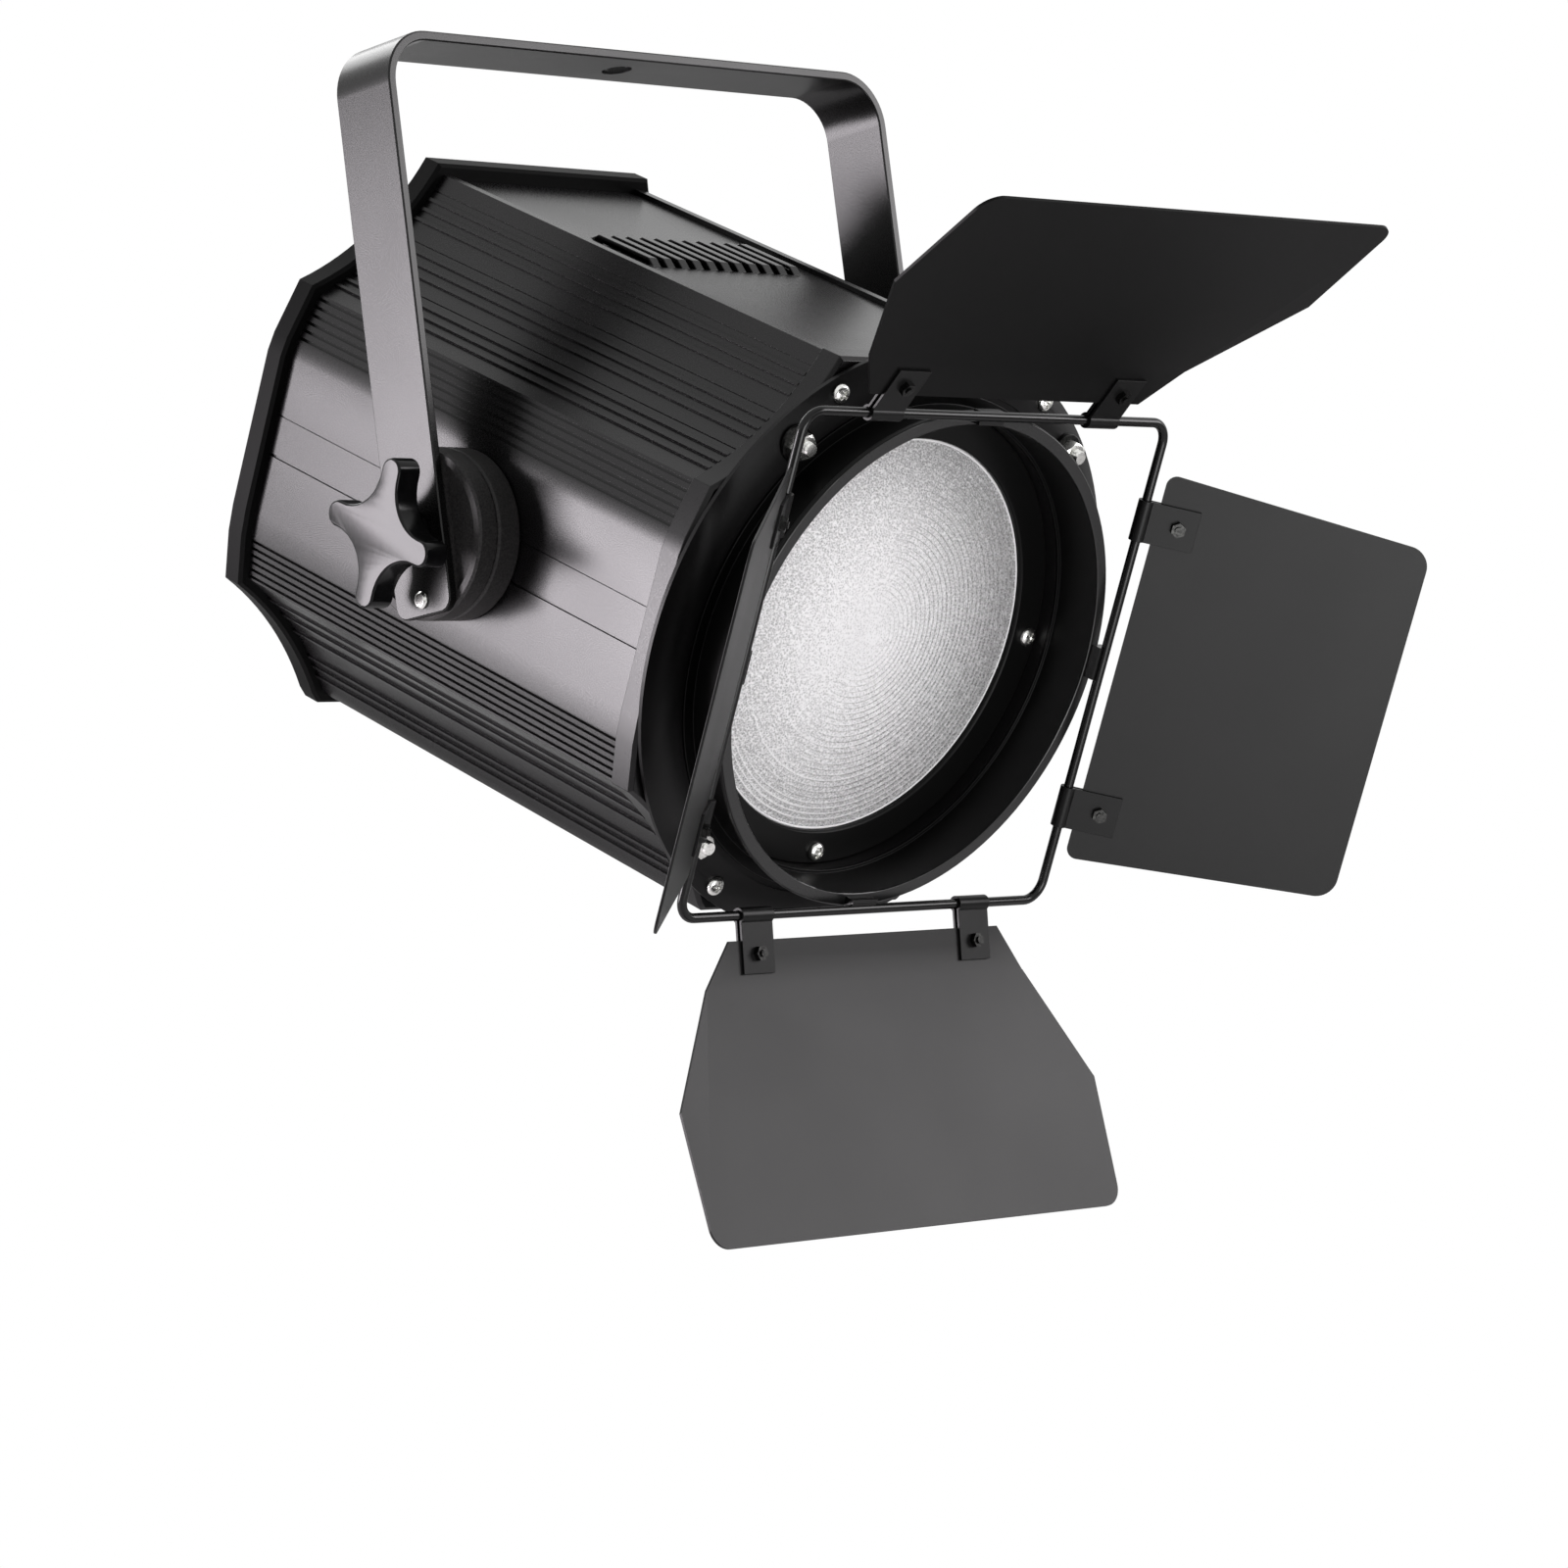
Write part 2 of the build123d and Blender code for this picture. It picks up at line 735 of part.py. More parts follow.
def clip():
    """Folded strap round the hinge wire whose two tails grip the leaf."""
    bore = wire_radius + clip_fit
    inside = leaf_thickness / 2
    outside = inside + clip_wall
    ring = Circle(bore + clip_wall)
    tails = Sketch()
    for low in (inside, -outside):
        tails += Pos(low + clip_wall / 2, clip_reach / 2) * Rectangle(clip_wall, clip_reach)
    section = ring + tails - Circle(bore)
    slot = Pos(0, (bore + clip_wall) / 2) * Rectangle(leaf_thickness, bore + clip_wall)
    section -= slot
    strap = extrude(Plane.YZ.offset(-clip_width / 2) * section, amount=clip_width)
    return strap - leaf_hole(0)


def clip_bolt():
    """Bolt with its round head behind the leaf."""
    grip = leaf_thickness / 2 + clip_wall
    end = -(grip + m3_nut_height + m3_end)
    head = rod_y(0, clip_bolt_reach, m3_head_radius, grip, grip + m3_head_height)
    head = chamfer(head.edges().group_by(Axis.Y)[-1], length=m3_head_height / 3)
    return head + rod_y(0, clip_bolt_reach, m3_radius, grip, end)


def clip_nut():
    """Hex nut on the lamp side of the leaf."""
    grip = leaf_thickness / 2 + clip_wall
    section = hexagon(m3_nut_flats) - Circle(m3_radius)
    return slab(Pos(0, clip_bolt_reach) * section, -grip, -grip - m3_nut_height)


def leaf_set(name, turn, leaf, open_angle):
    """One leaf with its clips and bolts, hung on one side of the wire frame."""
    place = Rot(0, turn, 0) * Pos(0, -frame_front, frame_half) * Rot(open_angle, 0, 0)
    spots = [Pos(x, 0, 0) for x in (-clip_spacing, clip_spacing)]
    bolts = [place * spot * piece for spot in spots for piece in (clip_bolt(), clip_nut())]
    return {
        "leaf_" + name: place * leaf,
        "clips_" + name: [place * spot * clip() for spot in spots],
        "clip_bolts_" + name: bolts,
    }


def cap_ring():
    """Cast rear frame, standing proud of the shells, with a ledge for the rear panel."""
    back = shell_back + cap_depth
    ring = slab(head_face(cap_proud), shell_back, back)
    ring = chamfer(ring.faces().sort_by(Axis.Y)[-1].outer_wire().edges(), length=cap_back_edge)
    ring = chamfer(ring.faces().sort_by(Axis.Y)[0].outer_wire().edges(), length=cap_front_edge)
    ring -= slab(head_face(-cap_ledge), shell_back - overrun, back + overrun)
    ring -= slab(head_face(-cap_opening), panel_face, back + overrun)
    for x, z in panel_screw_places():
        ring -= rod_y(x, z, m4_radius, shell_back - overrun, panel_face + overrun)
    return ring


def panel_screw_places():
    low = top_height - panel_screw_inset
    side = side_half_width - panel_screw_inset
    return corners(lip_half_width - panel_screw_inset, low) + [(-side, 0), (side, 0)]


def grille_slots():
    """Upright slots that fill a round area over the fan."""
    slots = Sketch()
    count = int(grille_radius / grille_pitch)
    for i in range(-count, count + 1):
        x = i * grille_pitch
        length = 2 * sqrt(grille_radius ** 2 - x ** 2)
        slots += Pos(x, 0) * Rot(0, 0, 90) * SlotOverall(length, grille_slot)
    return slots


def socket_places():
    middle = (socket_count - 1) / 2
    return [((i - middle) * socket_pitch, -socket_z) for i in range(socket_count)]


def button_places():
    return [((i - 1.5) * button_pitch, button_z) for i in range(4)]


def rear_panel():
    """Flat rear panel with its vent slots and cut-outs."""
    face = head_face(-cap_opening - rear_panel_fit) - grille_slots()
    face -= Pos(0, display_z) * Rectangle(display_width, display_height)
    for x, z in button_places():
        face -= Pos(x, z) * Circle(button_radius + button_gap)
    for x, z in socket_places():
        face -= Pos(x, z) * Circle(socket_barrel_radius)
    face -= Pos(fuse_x, 0) * Circle(fuse_barrel_radius)
    for x, z in panel_screw_places():
        face -= Pos(x, z) * Circle(m4_hole_radius)
    for x, z in corners(fan_screw_spacing, fan_screw_spacing):
        face -= Pos(x, z) * Circle(m4_hole_radius)
    return slab(face, panel_face, panel_back)


def rear_screws(places, length):
    """Pan head screws driven from behind."""
    return [Pos(x, panel_back, z) * Rot(0, 0, 180) * pan_screw(length) for x, z in places]


def display_window():
    """Clear window with a flange behind the panel."""
    fit = display_fit * 2
    window = Pos(0, display_z) * Rectangle(display_width - fit, display_height - fit)
    rim = display_flange * 2
    flange = Pos(0, display_z) * Rectangle(display_width + rim, display_height + rim)
    front = panel_face - display_flange_thickness
    return slab(window, panel_face, panel_back) + slab(flange, panel_face, front)


def menu_button(x, z):
    """Round button held behind the panel by its collar."""
    collar_top = panel_face - button_gap
    brim_radius = button_radius + button_collar_width
    collar = rod_y(x, z, brim_radius, collar_top, collar_top - button_collar_thickness)
    cap = rod_y(x, z, button_radius, panel_back + button_proud, panel_face - button_stem / 2)
    cap = chamfer(cap.edges().group_by(Axis.Y)[-1], length=button_edge)
    return cap + collar


def socket(place, pins):
    """Round panel socket: a flanged barrel, and in its well the pins, or an insert with holes."""
    x, z = place
    flange_top = panel_back + socket_flange_thickness
    top = flange_top + socket_collar_height
    plate = RectangleRounded(socket_flange_width, socket_flange_height, socket_flange_corner)
    body = slab(Pos(x, z) * plate, panel_back, flange_top)
    body += rod_y(x, z, socket_barrel_radius, flange_top, panel_back - socket_barrel_length)
    body += rod_y(x, z, socket_collar_radius, top, flange_top)
    floor = top - socket_well_depth
    body -= rod_y(x, z, socket_well_radius, top + overrun, floor)
    spots = []
    for i in range(3):
        turn = radians(90 + i * 120)
        spots.append((x + pin_circle * cos(turn), z + pin_circle * sin(turn)))
    if pins:
        return [body] + [rod_y(px, pz, pin_radius, floor, floor + pin_length) for px, pz in spots]
    insert = rod_y(x, z, insert_radius, floor, floor + insert_height)
    for px, pz in spots:
        insert -= rod_y(px, pz, pin_radius, floor + insert_height + overrun, floor + overrun)
    return [body, insert]


def fuse_holder():
    """Screw-cap fuse holder."""
    top = panel_back + fuse_height
    body = rod_y(fuse_x, 0, fuse_radius, panel_back, top)
    body += rod_y(fuse_x, 0, fuse_barrel_radius, panel_back, panel_back - fuse_barrel_length)
    half = fuse_slot_width / 2
    wide = (fuse_x - fuse_radius - overrun, fuse_x + fuse_radius + overrun)
    return body - box(wide, (top - fuse_slot_depth, top + overrun), (-half, half))


def safety_eye():
    """Half loop on a small plate, for a safety cable."""
    x = (-eye_x - eye_plate_width / 2, -eye_x + eye_plate_width / 2)
    base = panel_back + eye_plate_thickness
    plate = box(x, (panel_back, base), (-eye_plate_height / 2, eye_plate_height / 2))
    start = Plane(origin=(-eye_x, base - eye_wire_radius / 2, eye_loop_radius), z_dir=(0, 1, 0))
    axis = Axis((-eye_x, base - eye_wire_radius / 2, 0), (-1, 0, 0))
    loop = revolve(start * Circle(eye_wire_radius), axis, revolution_arc=180)
    if loop.bounding_box().max.Y < base:
        loop = revolve(start * Circle(eye_wire_radius), axis, revolution_arc=-180)
    return plate + loop


def fan_frame():
    """Square fan frame with a round duct, a spider and the rotor's pin."""
    front = fan_back - fan_depth
    plate = RectangleRounded(fan_half * 2, fan_half * 2, fan_corner)
    frame = slab(plate - Circle(fan_bore_radius), front, fan_back)
    for x, z in corners(fan_screw_spacing, fan_screw_spacing):
        frame -= rod_y(x, z, m4_radius, front - overrun, fan_back + overrun)
    hub = rod_y(0, 0, spider_radius, front, front + spider_thickness)
    for i in range(3):
        across = (-spider_arm / 2, spider_arm / 2)
        arm = box(across, (front, front + spider_thickness), (0, fan_bore_radius + overrun))
        hub += Rot(0, i * 120, 0) * arm
    pin = rod_y(0, 0, fan_pin_radius, front, front + fan_pin_length)
    return frame + hub + pin


def fan_rotor():
    """Cup hub with pitched blades, running on the frame's pin."""
    start = fan_back - fan_depth + spider_thickness + rotor_gap
    end = start + rotor_depth
    hub = rod_y(0, 0, rotor_hub_radius, start, end)
    hub -= rod_y(0, 0, fan_pin_radius + fan_pin_fit, start - overrun, end - rotor_cup_wall)
    length = rotor_tip_radius - rotor_hub_radius + rotor_cup_wall
    middle = (start + end) / 2
    blade = Box(blade_thickness, blade_chord, length)
    blade = Pos(0, middle, rotor_hub_radius - rotor_cup_wall + length / 2) * Rot(0, 0, blade_pitch) * blade
    tip = rod_y(0, 0, rotor_tip_radius, start, end)
    for i in range(rotor_blade_count):
        hub += (Rot(0, i * 360 / rotor_blade_count, 0) * blade) & tip
    return hub


def heatsink():
    """Finned heat sink behind the light engine."""
    half = sink_half
    sink = box((-half, half), (sink_front, sink_front + sink_base), (-half, half))
    pitch = (half * 2 - fin_thickness) / (fin_count - 1)
    for i in range(fin_count):
        x = -half + i * pitch
        sink += box((x, x + fin_thickness), (sink_front + sink_base, sink_front + sink_depth), (-half, half))
    return sink


def sink_brackets():
    """Bars that carry the heat sink between the side shells."""
    wide = (sink_half, side_half_width - shell_wall)
    tall = (-bracket_half_height, bracket_half_height)
    bar = box(wide, (sink_front, sink_front + sink_base), tall)
    return [bar, mirror(bar, Plane.YZ)]


def cob_led():
    """Chip-on-board light source."""
    half = led_half
    board = box((-half, half), (sink_front - led_thickness, sink_front), (-half, half))
    face = sink_front - led_thickness
    return board + rod_y(0, 0, emitter_radius, face, face - emitter_height)


def reflector():
    """Flared reflector with a flange that sits on the heat sink."""
    neck = sink_front - reflector_wall
    mouth = neck - reflector_length
    return turned(
        (reflector_neck_radius, sink_front), (reflector_neck_radius + reflector_flange, sink_front),
        (reflector_neck_radius + reflector_flange, neck), (reflector_neck_radius + reflector_wall, neck),
        (reflector_mouth_radius + reflector_wall, mouth), (reflector_mouth_radius, mouth),
        (reflector_neck_radius, neck),
    )


def power_driver():
    """Closed driver box on the bottom panel."""
    low = -panel_under
    deep = (-driver_front, driver_length - driver_front)
    case = box((-driver_half_width, driver_half_width), deep, (low, low + driver_height))
    return fillet(case.edges().filter_by(Axis.Y), radius=driver_corner)


def control_board():
    """Control board on four standoffs behind the display."""
    back = panel_face - board_gap
    low = board_z - board_height / 2
    high = board_z + board_height / 2
    board = box((-board_half_width, board_half_width), (back - board_thickness, back), (low, high))
    for x in (-board_half_width + standoff_inset, board_half_width - standoff_inset):
        for z in (low + standoff_inset, high - standoff_inset):
            board += rod_y(x, z, standoff_radius, back, panel_face)
    return board


def yoke():
    """Flat bar bent into a U, with the hanging hole and the two clamp holes."""
    inside = yoke_half_width - bar_thickness
    tall = yoke_drop + yoke_tail
    centre = -tall / 2
    outer = Pos(0, centre) * Rectangle(yoke_half_width * 2, tall)
    outer = fillet(outer.vertices().group_by(Axis.Y)[-1], radius=yoke_bend_radius)
    inner = Pos(0, centre - bar_thickness) * Rectangle(inside * 2, tall)
    inner = fillet(inner.vertices().group_by(Axis.Y)[-1], radius=yoke_bend_radius - bar_thickness)
    bar = slab(outer - inner, -bar_width / 2, bar_width / 2)
    ends = bar.edges().filter_by(Axis.X).group_by(Axis.Z)[0]
    bar = fillet(ends, radius=yoke_end_radius)
    sides = bar.faces().filter_by(Axis.Y)
    bar = chamfer(sides.edges(), length=yoke_edge)
    hole = Pos(0, 0, -bar_thickness / 2) * Cylinder(hang_hole_radius, bar_thickness * 2)
    wide = yoke_half_width + overrun
    bar -= hole
    bar -= rod_x(stud_radius + stud_clearance, -wide, wide, z=-yoke_drop)
    bar -= rod_x(rivet_shank_radius, -wide, wide, z=-yoke_drop - rivet_drop)
    return bar


def yoke_disc():
    """Left friction disc on the inside of the yoke, toothed where it meets the head's disc."""
    arm = -(yoke_half_width - bar_thickness)
    end = arm + yoke_disc_thickness
    disc = rod_x(disc_radius, arm, end)
    disc = chamfer(disc.edges().filter_by(GeomType.CIRCLE), length=disc_edge)
    dish = rod_x(dish_outer_radius, arm - overrun, arm + dish_depth)
    dish -= rod_x(dish_inner_radius, arm - overrun, arm + dish_depth)
    spare = Pos(arm, 0, 0) * Box(dish_depth * 3, bar_width, disc_radius * 2)
    disc -= dish - spare
    high = (disc_radius - tooth_length, disc_radius + overrun)
    tooth = box((end - tooth_depth, end + overrun), (-tooth_width / 2, tooth_width / 2), high)
    for i in range(tooth_count):
        disc -= Rot(i * 360 / tooth_count, 0, 0) * tooth
    disc -= rod_x(stud_radius + stud_clearance, arm - overrun, end + overrun)
    disc -= rod_x(rivet_shank_radius, arm - overrun, arm + yoke_disc_thickness / 2, z=-rivet_drop)
    return disc


def rivet():
    """Screw that holds the left disc to the arm, with a domed head."""
    arm = -yoke_half_width
    head = rod_x(rivet_radius, arm - rivet_height, arm, z=-rivet_drop)
    head = chamfer(head.edges().filter_by(GeomType.CIRCLE).group_by(Axis.X)[0], length=rivet_height / 2)
    shank = rod_x(rivet_shank_radius, arm, arm + bar_thickness + yoke_disc_thickness / 2, z=-rivet_drop)
    return head + shank


def pivot_disc():
    """Left friction disc on the side of the head, with the threaded bore for the clamp stud."""
    disc = rod_x(disc_radius, -pivot_disc_end, -disc_seat)
    disc = chamfer(disc.edges().filter_by(GeomType.CIRCLE), length=disc_edge)
    return disc - rod_x(stud_radius + thread_fit, -pivot_disc_end - overrun, -disc_seat + overrun)


def knob():
    """Four-lobed clamp knob on the left, with its hub and stud."""
    near = yoke_half_width + knob_gap
    head = near + hub_length
    face = head + knob_thickness
    bar = SlotOverall(knob_reach * 2, lobe_radius * 2)
    cross = bar + Rot(0, 0, 90) * bar
    corners_in = cross.vertices().sort_by_distance((0, 0, 0))[:4]
    cross = fillet(corners_in, radius=valley_radius)
    grip = extrude(Plane.YZ.offset(-face) * Rot(0, 0, knob_turn) * cross, amount=knob_thickness)
    rims = grip.faces().filter_by(Axis.X)
    grip = fillet(rims.sort_by(Axis.X)[0].edges(), radius=knob_edge)
    hub = rod_x(hub_radius, -head - knob_edge, -near)
    stud = rod_x(stud_radius, -near, -disc_seat - disc_edge)
    return grip + hub + stud


def both_sides(name, piece):
    """The left piece and its mirror image on the right."""
    return {name + "_left": piece, name + "_right": mirror(piece, Plane.YZ)}


def head_parts():
    """Every piece of the tilting head, level about its tilt axis."""
    screws, spacers, studs, washers, nuts = flange_fasteners()
    parts = {
        **both_sides("side_shell", side_shell()),
        "top_panel": top_panel(),
        "bottom_panel": bottom_panel(),
        "front_bezel": front_bezel(),
        "front_flange": front_flange(),
        "flange_screws": screws,
        "flange_spacers": spacers,
        "hood_studs": studs,
        "hood_washers": washers,
        "hood_nuts": nuts,
        "hood": hood(),
        "lens": lens(),
        "lens_ring": lens_ring(),
        "lens_screws": lens_screws(),
        "barndoor_frame": barndoor_frame(),
        "frame_saddles": frame_saddles(),
        **both_sides("pivot_disc", pivot_disc()),
        **both_sides("knob", knob()),
        "rear_cap": cap_ring(),
        "rear_panel": rear_panel(),
        "rear_panel_screws": rear_screws(panel_screw_places(), rear_panel_thickness + cap_ledge_depth),
        "fan_screws": rear_screws(corners(fan_screw_spacing, fan_screw_spacing), fan_depth / 2),
        "display_window": display_window(),
        "power_inlet": socket(socket_places()[0], pins=True),
        "power_outlet": socket(socket_places()[1], pins=False),
        "dmx_in": socket(socket_places()[2], pins=True),
        "dmx_out": socket(socket_places()[3], pins=False),
        "fuse_holder": fuse_holder(),
        "safety_eye": safety_eye(),
        "fan_frame": fan_frame(),
        "fan_rotor": fan_rotor(),
        "heatsink": heatsink(),
        "heatsink_brackets": sink_brackets(),
        "cob_led": cob_led(),
        "reflector": reflector(),
        "power_driver": power_driver(),
        "control_board": control_board(),
    }
    for i, (x, z) in enumerate(button_places()):
        parts["menu_button_" + str(i + 1)] = menu_button(x, z)
    parts.update(leaf_set("top", 0, flap(), flap_open))
    parts.update(leaf_set("right", 90, side_leaf(), side_open))
    parts.update(leaf_set("bottom", 180, flap(), flap_open))
    parts.update(leaf_set("left", 270, side_leaf(), side_open))
    return parts


def yoke_parts():
    """Every piece of the hanging yoke."""
    lower = Pos(0, 0, -yoke_drop)
    disc = lower * yoke_disc()
    pin = lower * rivet()
    parts = {"yoke": yoke(), **both_sides("yoke_disc", disc)}
    parts["disc_rivets"] = [pin, mirror(pin, Plane.YZ)]
    return parts


def save(name, piece, place):
    """Write one node, a single solid or a group of separate solids, to its file."""
    pieces = piece if isinstance(piece, list) else [piece]
    solids = [solid.moved(place) for part in pieces for solid in part.solids()]
    shape = solids[0] if len(solids) == 1 else Compound(children=solids)
    shape.label = name
    export_step(shape, "parts/" + name + ".step")


def build():
    os.makedirs("parts", exist_ok=True)
    for name, piece in yoke_parts().items():
        save(name, piece, Location())
    for name, piece in head_parts().items():
        save(name, piece, head_place)


build()
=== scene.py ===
import json
from math import cos, pi, radians, sin, sqrt

import bmesh
import bpy
from mathutils import Matrix, Vector

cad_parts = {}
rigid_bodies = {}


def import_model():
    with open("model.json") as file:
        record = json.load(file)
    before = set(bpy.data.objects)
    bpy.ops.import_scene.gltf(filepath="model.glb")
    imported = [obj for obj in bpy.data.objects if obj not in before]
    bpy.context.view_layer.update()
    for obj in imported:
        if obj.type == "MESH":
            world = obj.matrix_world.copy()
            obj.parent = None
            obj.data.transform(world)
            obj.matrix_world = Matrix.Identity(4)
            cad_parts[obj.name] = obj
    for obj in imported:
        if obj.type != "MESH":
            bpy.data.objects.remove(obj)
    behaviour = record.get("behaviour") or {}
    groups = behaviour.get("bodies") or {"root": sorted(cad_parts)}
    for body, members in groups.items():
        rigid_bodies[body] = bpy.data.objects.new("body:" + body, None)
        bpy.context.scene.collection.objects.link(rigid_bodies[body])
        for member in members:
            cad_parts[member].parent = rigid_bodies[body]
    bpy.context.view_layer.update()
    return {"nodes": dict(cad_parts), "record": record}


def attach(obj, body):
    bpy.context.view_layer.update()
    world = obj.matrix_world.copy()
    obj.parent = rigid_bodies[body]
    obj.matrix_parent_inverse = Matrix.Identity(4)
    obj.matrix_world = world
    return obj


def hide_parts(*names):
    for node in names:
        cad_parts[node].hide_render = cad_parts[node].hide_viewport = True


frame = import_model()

# A black theatre fresnel lamp in its yoke. Lengths are in millimetres unless a comment says otherwise.
# The head's own pieces are laid out level about the tilt axis, lens towards -Y, and HEAD tilts them into
# place.
MM = 0.001
TILT = 29.7
AXIS_DROP = 204.0
LEVEL = Matrix.Translation((0, 0, -AXIS_DROP * MM)) @ Matrix.Rotation(radians(TILT), 4, "X")
ROW = Matrix.Scale(MM, 4)
HEAD = LEVEL @ ROW

# where the fasteners stand, sideways and up from the lens axis
SCREW_X, SCREW_Z = 59.3, 103.7
STUD_X, STUD_Z = 78.3, 83.3
PANEL_SCREW_X, PANEL_SCREW_Z, PANEL_SCREW_SIDE = 46.1, 104.8, 106.4
FAN_SCREW = 41.2
LENS_SCREW_CIRCLE = 93.2

# planes across the lens axis, as y in the level head
PANEL_BACK = 133.0
BEZEL_EDGE = -115.0
LENS_FACE = -119.6
RING_FACE = LENS_FACE - 2.8
FLANGE_BACK = -124.2
FLANGE_EDGE, FLANGE_FACE = -126.0, -129.2
LIP_START = -148.0

# the flange's bowed face starts at its land, and its top and bottom are cut flat
FLANGE_LAND, FLANGE_RADIUS = 109.0, 125.5
FLANGE_FLAT = 117.0
BEZEL_REACH = 5.4

# the lens's steps, inside the bead along its rim
LENS_CLEAR, LENS_STEPS = 82.8, 34
LENS_STEP = LENS_CLEAR / LENS_STEPS
LENS_BEAD = 83.1


# ---------------------------------------------------------------- materials


def colour(code):
    """An sRGB hex value as linear red, green, blue and alpha."""
    parts = [int(code[i:i + 2], 16) / 255 for i in (1, 3, 5)]
    return [c / 12.92 if c <= 0.04045 else ((c + 0.055) / 1.055) ** 2.4 for c in parts] + [1.0]


def add(tree, kind, settings=None, **inputs):
    """Adds a node with its settings, and sets each named input to a value or links it to an output."""
    made = tree.nodes.new(kind)
    for key, value in (settings or {}).items():
        setattr(made, key, value)
    for key, value in inputs.items():
        by_number = key[0] == "i" and key[1:].isdigit()
        socket = made.inputs[int(key[1:]) if by_number else key.replace("_", " ")]
        if isinstance(value, bpy.types.NodeSocket):
            tree.links.new(value, socket)
        else:
            socket.default_value = value
    return made


def material(name):
    """An empty material with its Principled shader."""
    made = bpy.data.materials.new(name)
    made.use_nodes = True
    return made, made.node_tree, made.node_tree.nodes["Principled BSDF"]


def ramp(tree, factor, stops):
    """A colour ramp from (position, hex) stops."""
    made = add(tree, "ShaderNodeValToRGB", None, Fac=factor)
    band = made.color_ramp
    band.elements[0].position, band.elements[0].color = stops[0][0], colour(stops[0][1])
    band.elements[1].position, band.elements[1].color = stops[-1][0], colour(stops[-1][1])
    for place, code in stops[1:-1]:
        band.elements.new(place).color = colour(code)
    return made.outputs["Color"]


def powder_coat(name, dark, pale, roughness, grain, depth, specular=0.5):
    """Baked powder coat: a fine pebbled skin on metal, grain wide and depth high in millimetres."""
    made, tree, shader = material(name)
    place = add(tree, "ShaderNodeTexCoord").outputs["Object"]
    pebble = add(tree, "ShaderNodeTexNoise", None, Vector=place, Scale=1 / (grain * MM), Detail=3.0,
                 Roughness=0.6)
    # clouds about 70 mm wide, from an uneven coat
    cloud = add(tree, "ShaderNodeTexNoise", None, Vector=place, Scale=14.0, Detail=2.0)
    tone = add(tree, "ShaderNodeMix", {"data_type": "FLOAT"}, Factor=0.35, A=pebble.outputs["Fac"],
               B=cloud.outputs["Fac"])
    base = ramp(tree, tone.outputs["Result"], [(0.35, dark), (0.65, pale)])
    gloss = add(tree, "ShaderNodeMapRange", None, Value=tone.outputs["Result"])
    gloss.inputs["From Min"].default_value, gloss.inputs["From Max"].default_value = 0.3, 0.7
    gloss.inputs["To Min"].default_value = roughness - 0.05
    gloss.inputs["To Max"].default_value = roughness + 0.05
    bump = add(tree, "ShaderNodeBump", None, Height=pebble.outputs["Fac"], Strength=1.0,
               Distance=depth * MM)
    tree.links.new(base, shader.inputs["Base Color"])
    tree.links.new(gloss.outputs["Result"], shader.inputs["Roughness"])
    tree.links.new(bump.outputs["Normal"], shader.inputs["Normal"])
    shader.inputs["Specular IOR Level"].default_value = specular
    return made


def plated_steel(name, pale, dark, roughness):
    """Plated or blackened steel: a metal with faint clouding 1 mm wide and a barely uneven skin."""
    made, tree, shader = material(name)
    place = add(tree, "ShaderNodeTexCoord").outputs["Object"]
    cloud = add(tree, "ShaderNodeTexNoise", None, Vector=place, Scale=900.0, Detail=3.0)
    base = ramp(tree, cloud.outputs["Fac"], [(0.3, dark), (0.7, pale)])
    bump = add(tree, "ShaderNodeBump", None, Height=cloud.outputs["Fac"], Strength=0.4,
               Distance=0.008 * MM)
    tree.links.new(base, shader.inputs["Base Color"])
    tree.links.new(bump.outputs["Normal"], shader.inputs["Normal"])
    shader.inputs["Metallic"].default_value = 1.0
    shader.inputs["Roughness"].default_value = roughness
    return made


def moulded_plastic(name, dark, pale, roughness, grain=0.5, depth=0.01, coat=0.0, specular=0.5):
    """Injection-moulded plastic with a faint skin."""
    made, tree, shader = material(name)
    place = add(tree, "ShaderNodeTexCoord").outputs["Object"]
    skin = add(tree, "ShaderNodeTexNoise", None, Vector=place, Scale=1 / (grain * MM), Detail=2.0)
    base = ramp(tree, skin.outputs["Fac"], [(0.3, dark), (0.7, pale)])
    bump = add(tree, "ShaderNodeBump", None, Height=skin.outputs["Fac"], Strength=0.6,
               Distance=depth * MM)
    tree.links.new(base, shader.inputs["Base Color"])
    tree.links.new(bump.outputs["Normal"], shader.inputs["Normal"])
    shader.inputs["Roughness"].default_value = roughness
    shader.inputs["Coat Weight"].default_value = coat
    shader.inputs["Specular IOR Level"].default_value = specular
    return made


